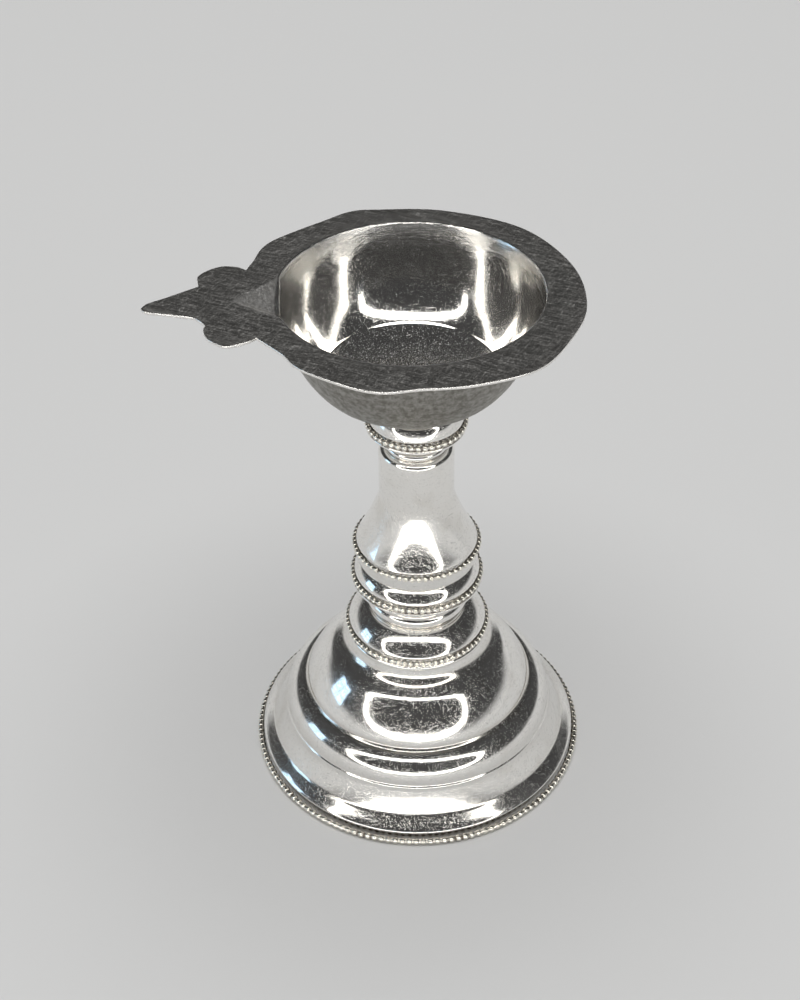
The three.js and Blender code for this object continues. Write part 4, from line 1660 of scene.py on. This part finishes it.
class BowlSkin:
    """Gathers the faces of the bowl's skin and the zone values of its points."""

    fade = 0.3
    spout_fade = 0.35
    brim_fade = 3.2
    zone_names = ("satin", "spout", "under", "cut", "brim", "floor")

    def __init__(self, bowl: Bowl) -> None:
        """Starts empty.

        Args:
            bowl: The bowl, for its sizes.
        """
        self.bowl = bowl
        self.points: list[Triple] = []
        self.faces: list[list[int]] = []
        self.zones: list[tuple[float, ...]] = []

    def add(self, x: float, y: float, z: float, upper: bool, cut: float = 0.0) -> int:
        """Adds a point with its zone values.

        Args:
            x: Its place across the lamp, from the stem's axis.
            y: Its place along the lamp.
            z: Its height.
            upper: Whether it is on the upper face or the cut edge.
            cut: 1 on the cut edge.

        Returns:
            The point's index.
        """
        bowl = self.bowl
        radius = math.hypot(x - bowl.shift[0], y - bowl.shift[1])
        channel = float(bowl.channel_depth(np.array(x), np.array(y)))
        outside = min(1.0, max(0.0, (radius - bowl.mouth) / self.fade + 0.5))
        in_spout = min(1.0, channel / self.spout_fade) * outside
        brim = min(1.0, max(0.0, 1.6 - (bowl.rim - z) / self.brim_fade)) * (1 - outside)
        floor = min(1.0, max(0.0, (bowl.groove[0] - radius) / self.fade))
        self.points.append((STEM[0] + x, STEM[1] + y, z))
        if upper:
            self.zones.append((outside * (1 - in_spout), in_spout, 0.0, cut, brim, floor))
        else:
            self.zones.append((0.6 * outside, 0.0, 1.0, cut, 0.0, 0.0))
        return len(self.points) - 1

    def ring(self, places: np.ndarray, height: Callable) -> list[int]:
        """Adds a ring of points on one of the two faces.

        Args:
            places: The points in plan.
            height: The face's height function.

        Returns:
            Their indices.
        """
        heights = height(places[:, 0], places[:, 1])
        upper = height == self.bowl.top_height
        return [self.add(x, y, z, upper) for (x, y), z in zip(places, heights)]

    def edge_ring(self, places: np.ndarray, drop: float) -> list[int]:
        """Adds a ring of points on the cut edge, at a drop under the rim.

        Args:
            places: The points in plan.
            drop: Their height over the rim, 0 or less.

        Returns:
            Their indices.
        """
        heights = self.bowl.rim + drop - self.bowl.warp(places[:, 0], places[:, 1])
        return [self.add(x, y, z, True, 1.0) for (x, y), z in zip(places, heights)]

    def polar_face(self, outer: list[int], stations: Sequence[float], height: Callable, upper: bool,
                   spread: int) -> None:
        """Fills one face between the dish's axis and an outer loop of points.

        Args:
            outer: The points of the outer loop, counter-clockwise.
            stations: Distances from the dish's axis, the first of them 0.
            height: The face's height function.
            upper: Whether this is the upper face.
            spread: How many rows lie between the last station and the outer loop.
        """
        centre = np.array(self.bowl.shift)
        ends = np.array([self.points[i][:2] for i in outer]) - np.array(STEM)
        away = ends - centre
        lengths = np.hypot(*away.T)
        heading = away / lengths[:, None]
        rows: list[np.ndarray] = [centre + heading * station for station in stations[1:]]
        last = stations[-1]
        for step in range(1, spread):
            rows.append(centre + heading * (last + (lengths - last) * step / spread)[:, None])
        count = len(outer)
        middle = self.add(*centre, float(height(*(np.array([c]) for c in centre))[0]), upper)
        before = [middle] * count
        for row in [*rows, None]:
            if row is None:
                now = outer
            else:
                heights = height(row[:, 0], row[:, 1])
                now = [self.add(x, y, z, upper) for (x, y), z in zip(row, heights)]
            for k in range(count):
                n = (k + 1) % count
                corners = list(dict.fromkeys([before[k], now[k], now[n], before[n]]))
                self.faces.append(corners if upper else corners[::-1])
            before = now

    def flat_face(self, loop: list[int], upper: bool) -> None:
        """Fills the flat outer part of the tab, whose loop runs counter-clockwise seen from above."""
        self.faces.append(loop if upper else loop[::-1])

    def strips(self, rings: Sequence[list[int]]) -> None:
        """Joins rings of the cut edge, from the upper face down to the lower one.

        Args:
            rings: The rings' points, from the top down.
        """
        for upper, lower in zip(rings, rings[1:]):
            count = len(upper)
            for k in range(count):
                n = (k + 1) % count
                self.faces.append([upper[k], lower[k], lower[n], upper[n]])

    def finish(self, name: str) -> bpy.types.Object:
        """Makes the object, with its flat faces cut into triangles.

        Args:
            name: The piece's name.

        Returns:
            The bowl's skin.
        """
        made = mesh_object(name, np.array(self.points), self.faces, 55.0)
        for zone, values in zip(self.zone_names, np.array(self.zones).T):
            point_values(made, zone, values)
        shape = bmesh.new()
        shape.from_mesh(made.data)
        bmesh.ops.triangulate(shape, faces=[f for f in shape.faces if len(f.verts) > 4])
        shape.to_mesh(made.data)
        shape.free()
        return made


@dataclass
class Studio:
    """The pale floor, the soft lights and the camera."""

    floor_radius: float = 700.0
    floor_colour: Triple = (0.64, 0.64, 0.635)
    ceiling_colour: Triple = (0.05, 0.05, 0.05)
    horizon: Point = (0.03, 0.2)
    frame_centre: Triple = (0.0, -266.0, 187.0)
    frame_half: Point = (340.0, 145.0)
    frame_bar: float = 40.0
    frame_squareness: Point = (4.2, 2.3)
    frame_lean: float = -32.0
    frame_turn: float = -3.0
    frame_strength: float = 7.0
    frame_colour: Triple = (1.0, 0.985, 0.955)
    pane: Point = (60.0, 140.0 / 3)
    pane_gap: float = 5.0
    window_centre: Triple = (0.0, -420.0, 130.0)
    window_lean: float = 10.0
    window_turn: float = -88.0
    window_strength: float = 2.2
    window_colour: Triple = (0.55, 0.78, 1.0)
    fill_size: float = 2800.0
    fill_energy: float = 61.0
    fill_height: float = 2200.0
    fill_behind: float = 100.0
    lens: float = 60.12
    eye: Triple = (-2.16, -219.84, 229.25)
    pitch: float = 38.63
    yaw: float = 0.166
    roll: float = -0.7127
    spout_turn: float = -5.5

    def build(self) -> None:
        """Makes the floor, the world, the lights and the camera."""
        self.floor()
        self.world()
        self.light_frame()
        self.side_window()
        self.fill()
        self.camera()

    def turned(self) -> Matrix:
        """From the photographer's axes at the stem's foot to the lamp's own."""
        turn = Matrix.Rotation(math.radians(self.spout_turn), 4, "Z")
        return Matrix.Translation((STEM[0] * MM, 0.0, 0.0)) @ turn

    def floor(self) -> None:
        """The pale floor, a disc far wider than the lamp."""
        count = 96
        around = [(self.floor_radius * math.cos(2 * math.pi * k / count),
                   self.floor_radius * math.sin(2 * math.pi * k / count), 0.0) for k in range(count)]
        made = mesh_object("pale_floor", np.array(around), [tuple(range(count))])
        shader = Shader("pale_floor")
        shader.set(Base_Color=(*self.floor_colour, 1.0), Roughness=0.85)
        made.data.materials.append(shader.material)

    def world(self) -> None:
        """A pale horizon that falls off to a dim ceiling."""
        world = bpy.data.worlds.new("studio")
        bpy.context.scene.world = world
        world.use_nodes = True
        tree = world.node_tree
        tree.nodes.clear()
        where = add_node(tree, "ShaderNodeTexCoord")
        split = add_node(tree, "ShaderNodeSeparateXYZ", {}, {0: where.outputs["Generated"]})
        ramp = add_node(tree, "ShaderNodeValToRGB", {}, {0: split.outputs[2]})
        ramp.color_ramp.interpolation = "EASE"
        for i, colour in enumerate((self.floor_colour, self.ceiling_colour)):
            ramp.color_ramp.elements[i].position = self.horizon[i]
            ramp.color_ramp.elements[i].color = (*colour, 1.0)
        background = add_node(tree, "ShaderNodeBackground", {}, {0: ramp.outputs[0]})
        add_node(tree, "ShaderNodeOutputWorld", {}, {0: background.outputs[0]})

    def facing(self, centre: Vector, lean: float, turn: float) -> Matrix:
        """A place in the photographer's axes that faces the lamp.

        Args:
            centre: The place, in millimetres from the stem's foot.
            lean: How far it leans, in degrees.
            turn: How far it is carried round the stem, in degrees.

        Returns:
            The transform from a flat shape at the origin to that place, in metres.
        """
        return (self.turned() @ Matrix.Rotation(math.radians(turn), 4, "Z") @ Matrix.Translation(centre * MM)
                @ Matrix.Rotation(math.radians(lean - 90), 4, "X"))

    def light_frame(self) -> None:
        """The soft light, an oval ring that is squarer above than below, which the camera looks through."""
        count = 128
        angles = np.arange(count) * 2 * math.pi / count
        power = 2 / np.where(np.sin(angles) < 0, *self.frame_squareness)
        across, down = (np.sign(wave) * np.abs(wave) ** power for wave in (np.cos(angles), np.sin(angles)))
        wide, high = self.frame_half
        loops = [np.column_stack([across * (wide + grow), down * (high + grow), 0 * down])
                 for grow in (self.frame_bar / 2, -self.frame_bar / 2)]
        faces = [(k, (k + 1) % count, count + (k + 1) % count, count + k) for k in range(count)]
        made = mesh_object("light_frame", np.vstack(loops), faces)
        made.data.transform(self.facing(Vector(self.frame_centre), self.frame_lean, self.frame_turn))
        self.glow(made, self.frame_colour, self.frame_strength)

    def side_window(self) -> None:
        """A small cool light of six panes, low at the left."""
        (width, height), gap = self.pane, self.pane_gap
        vertices, faces = [], []
        for column in range(2):
            for row in range(3):
                left, low = column * (width + gap) - width, row * (height + gap) - height * 1.5
                start = len(vertices)
                vertices += [(left, low, 0.0), (left + width, low, 0.0),
                             (left + width, low + height, 0.0), (left, low + height, 0.0)]
                faces.append(tuple(range(start, start + 4)))
        made = mesh_object("side_window", np.array(vertices), faces)
        made.data.transform(self.facing(Vector(self.window_centre), self.window_lean, self.window_turn))
        self.glow(made, self.window_colour, self.window_strength)

    def glow(self, made: bpy.types.Object, colour: Triple, strength: float) -> None:
        """Makes a stage object a lamp that only gloss sees.

        Args:
            made: The object.
            colour: Its light's colour.
            strength: Its light's strength.
        """
        shader = Shader(made.name)
        emission = shader.node("ShaderNodeEmission", {}, {"Color": (*colour, 1.0), "Strength": strength})
        output = next(n for n in shader.tree.nodes if n.bl_idname == "ShaderNodeOutputMaterial")
        shader.tree.links.new(emission.outputs[0], output.inputs[0])
        made.data.materials.append(shader.material)
        made.visible_camera = False
        made.visible_diffuse = False
        made.visible_shadow = False

    def fill(self) -> None:
        """A large soft lamp overhead that lights the floor evenly, and that polished metal doesn't mirror."""
        lamp = bpy.data.lights.new("overhead_fill", "AREA")
        lamp.shape = "DISK"
        lamp.size = self.fill_size * MM
        lamp.energy = self.fill_energy
        made = bpy.data.objects.new("overhead_fill", lamp)
        made.location = (STEM[0] * MM, self.fill_behind * MM, self.fill_height * MM)
        made.visible_glossy = False
        bpy.context.scene.collection.objects.link(made)

    def camera(self) -> None:
        """The camera at the photographer's eye."""
        data = bpy.data.cameras.new("eye")
        data.lens = self.lens
        made = bpy.data.objects.new("eye", data)
        place = Matrix.Translation(Vector(self.eye) * MM)
        look = (Matrix.Rotation(math.radians(self.yaw), 4, "Z")
                @ Matrix.Rotation(math.radians(90 - self.pitch), 4, "X")
                @ Matrix.Rotation(math.radians(self.roll), 4, "Z"))
        made.matrix_world = self.turned() @ place @ look
        data.clip_start, data.clip_end = 0.005, 20.0
        bpy.context.scene.collection.objects.link(made)
        bpy.context.scene.camera = made
        bpy.context.scene.view_settings.view_transform = "Standard"


def main() -> None:
    """Builds the lamp from its foot up and the studio round it."""
    logging.basicConfig(level=logging.INFO, format="%(name)s: %(message)s")
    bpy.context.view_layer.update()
    shop = Workshop()
    for assembly in (Foot, Knop, MiddleDisc, Bell, Collar, Fittings, Bowl):
        assembly(shop).build()
    Studio().build()


if __name__ == "__main__":
    main()
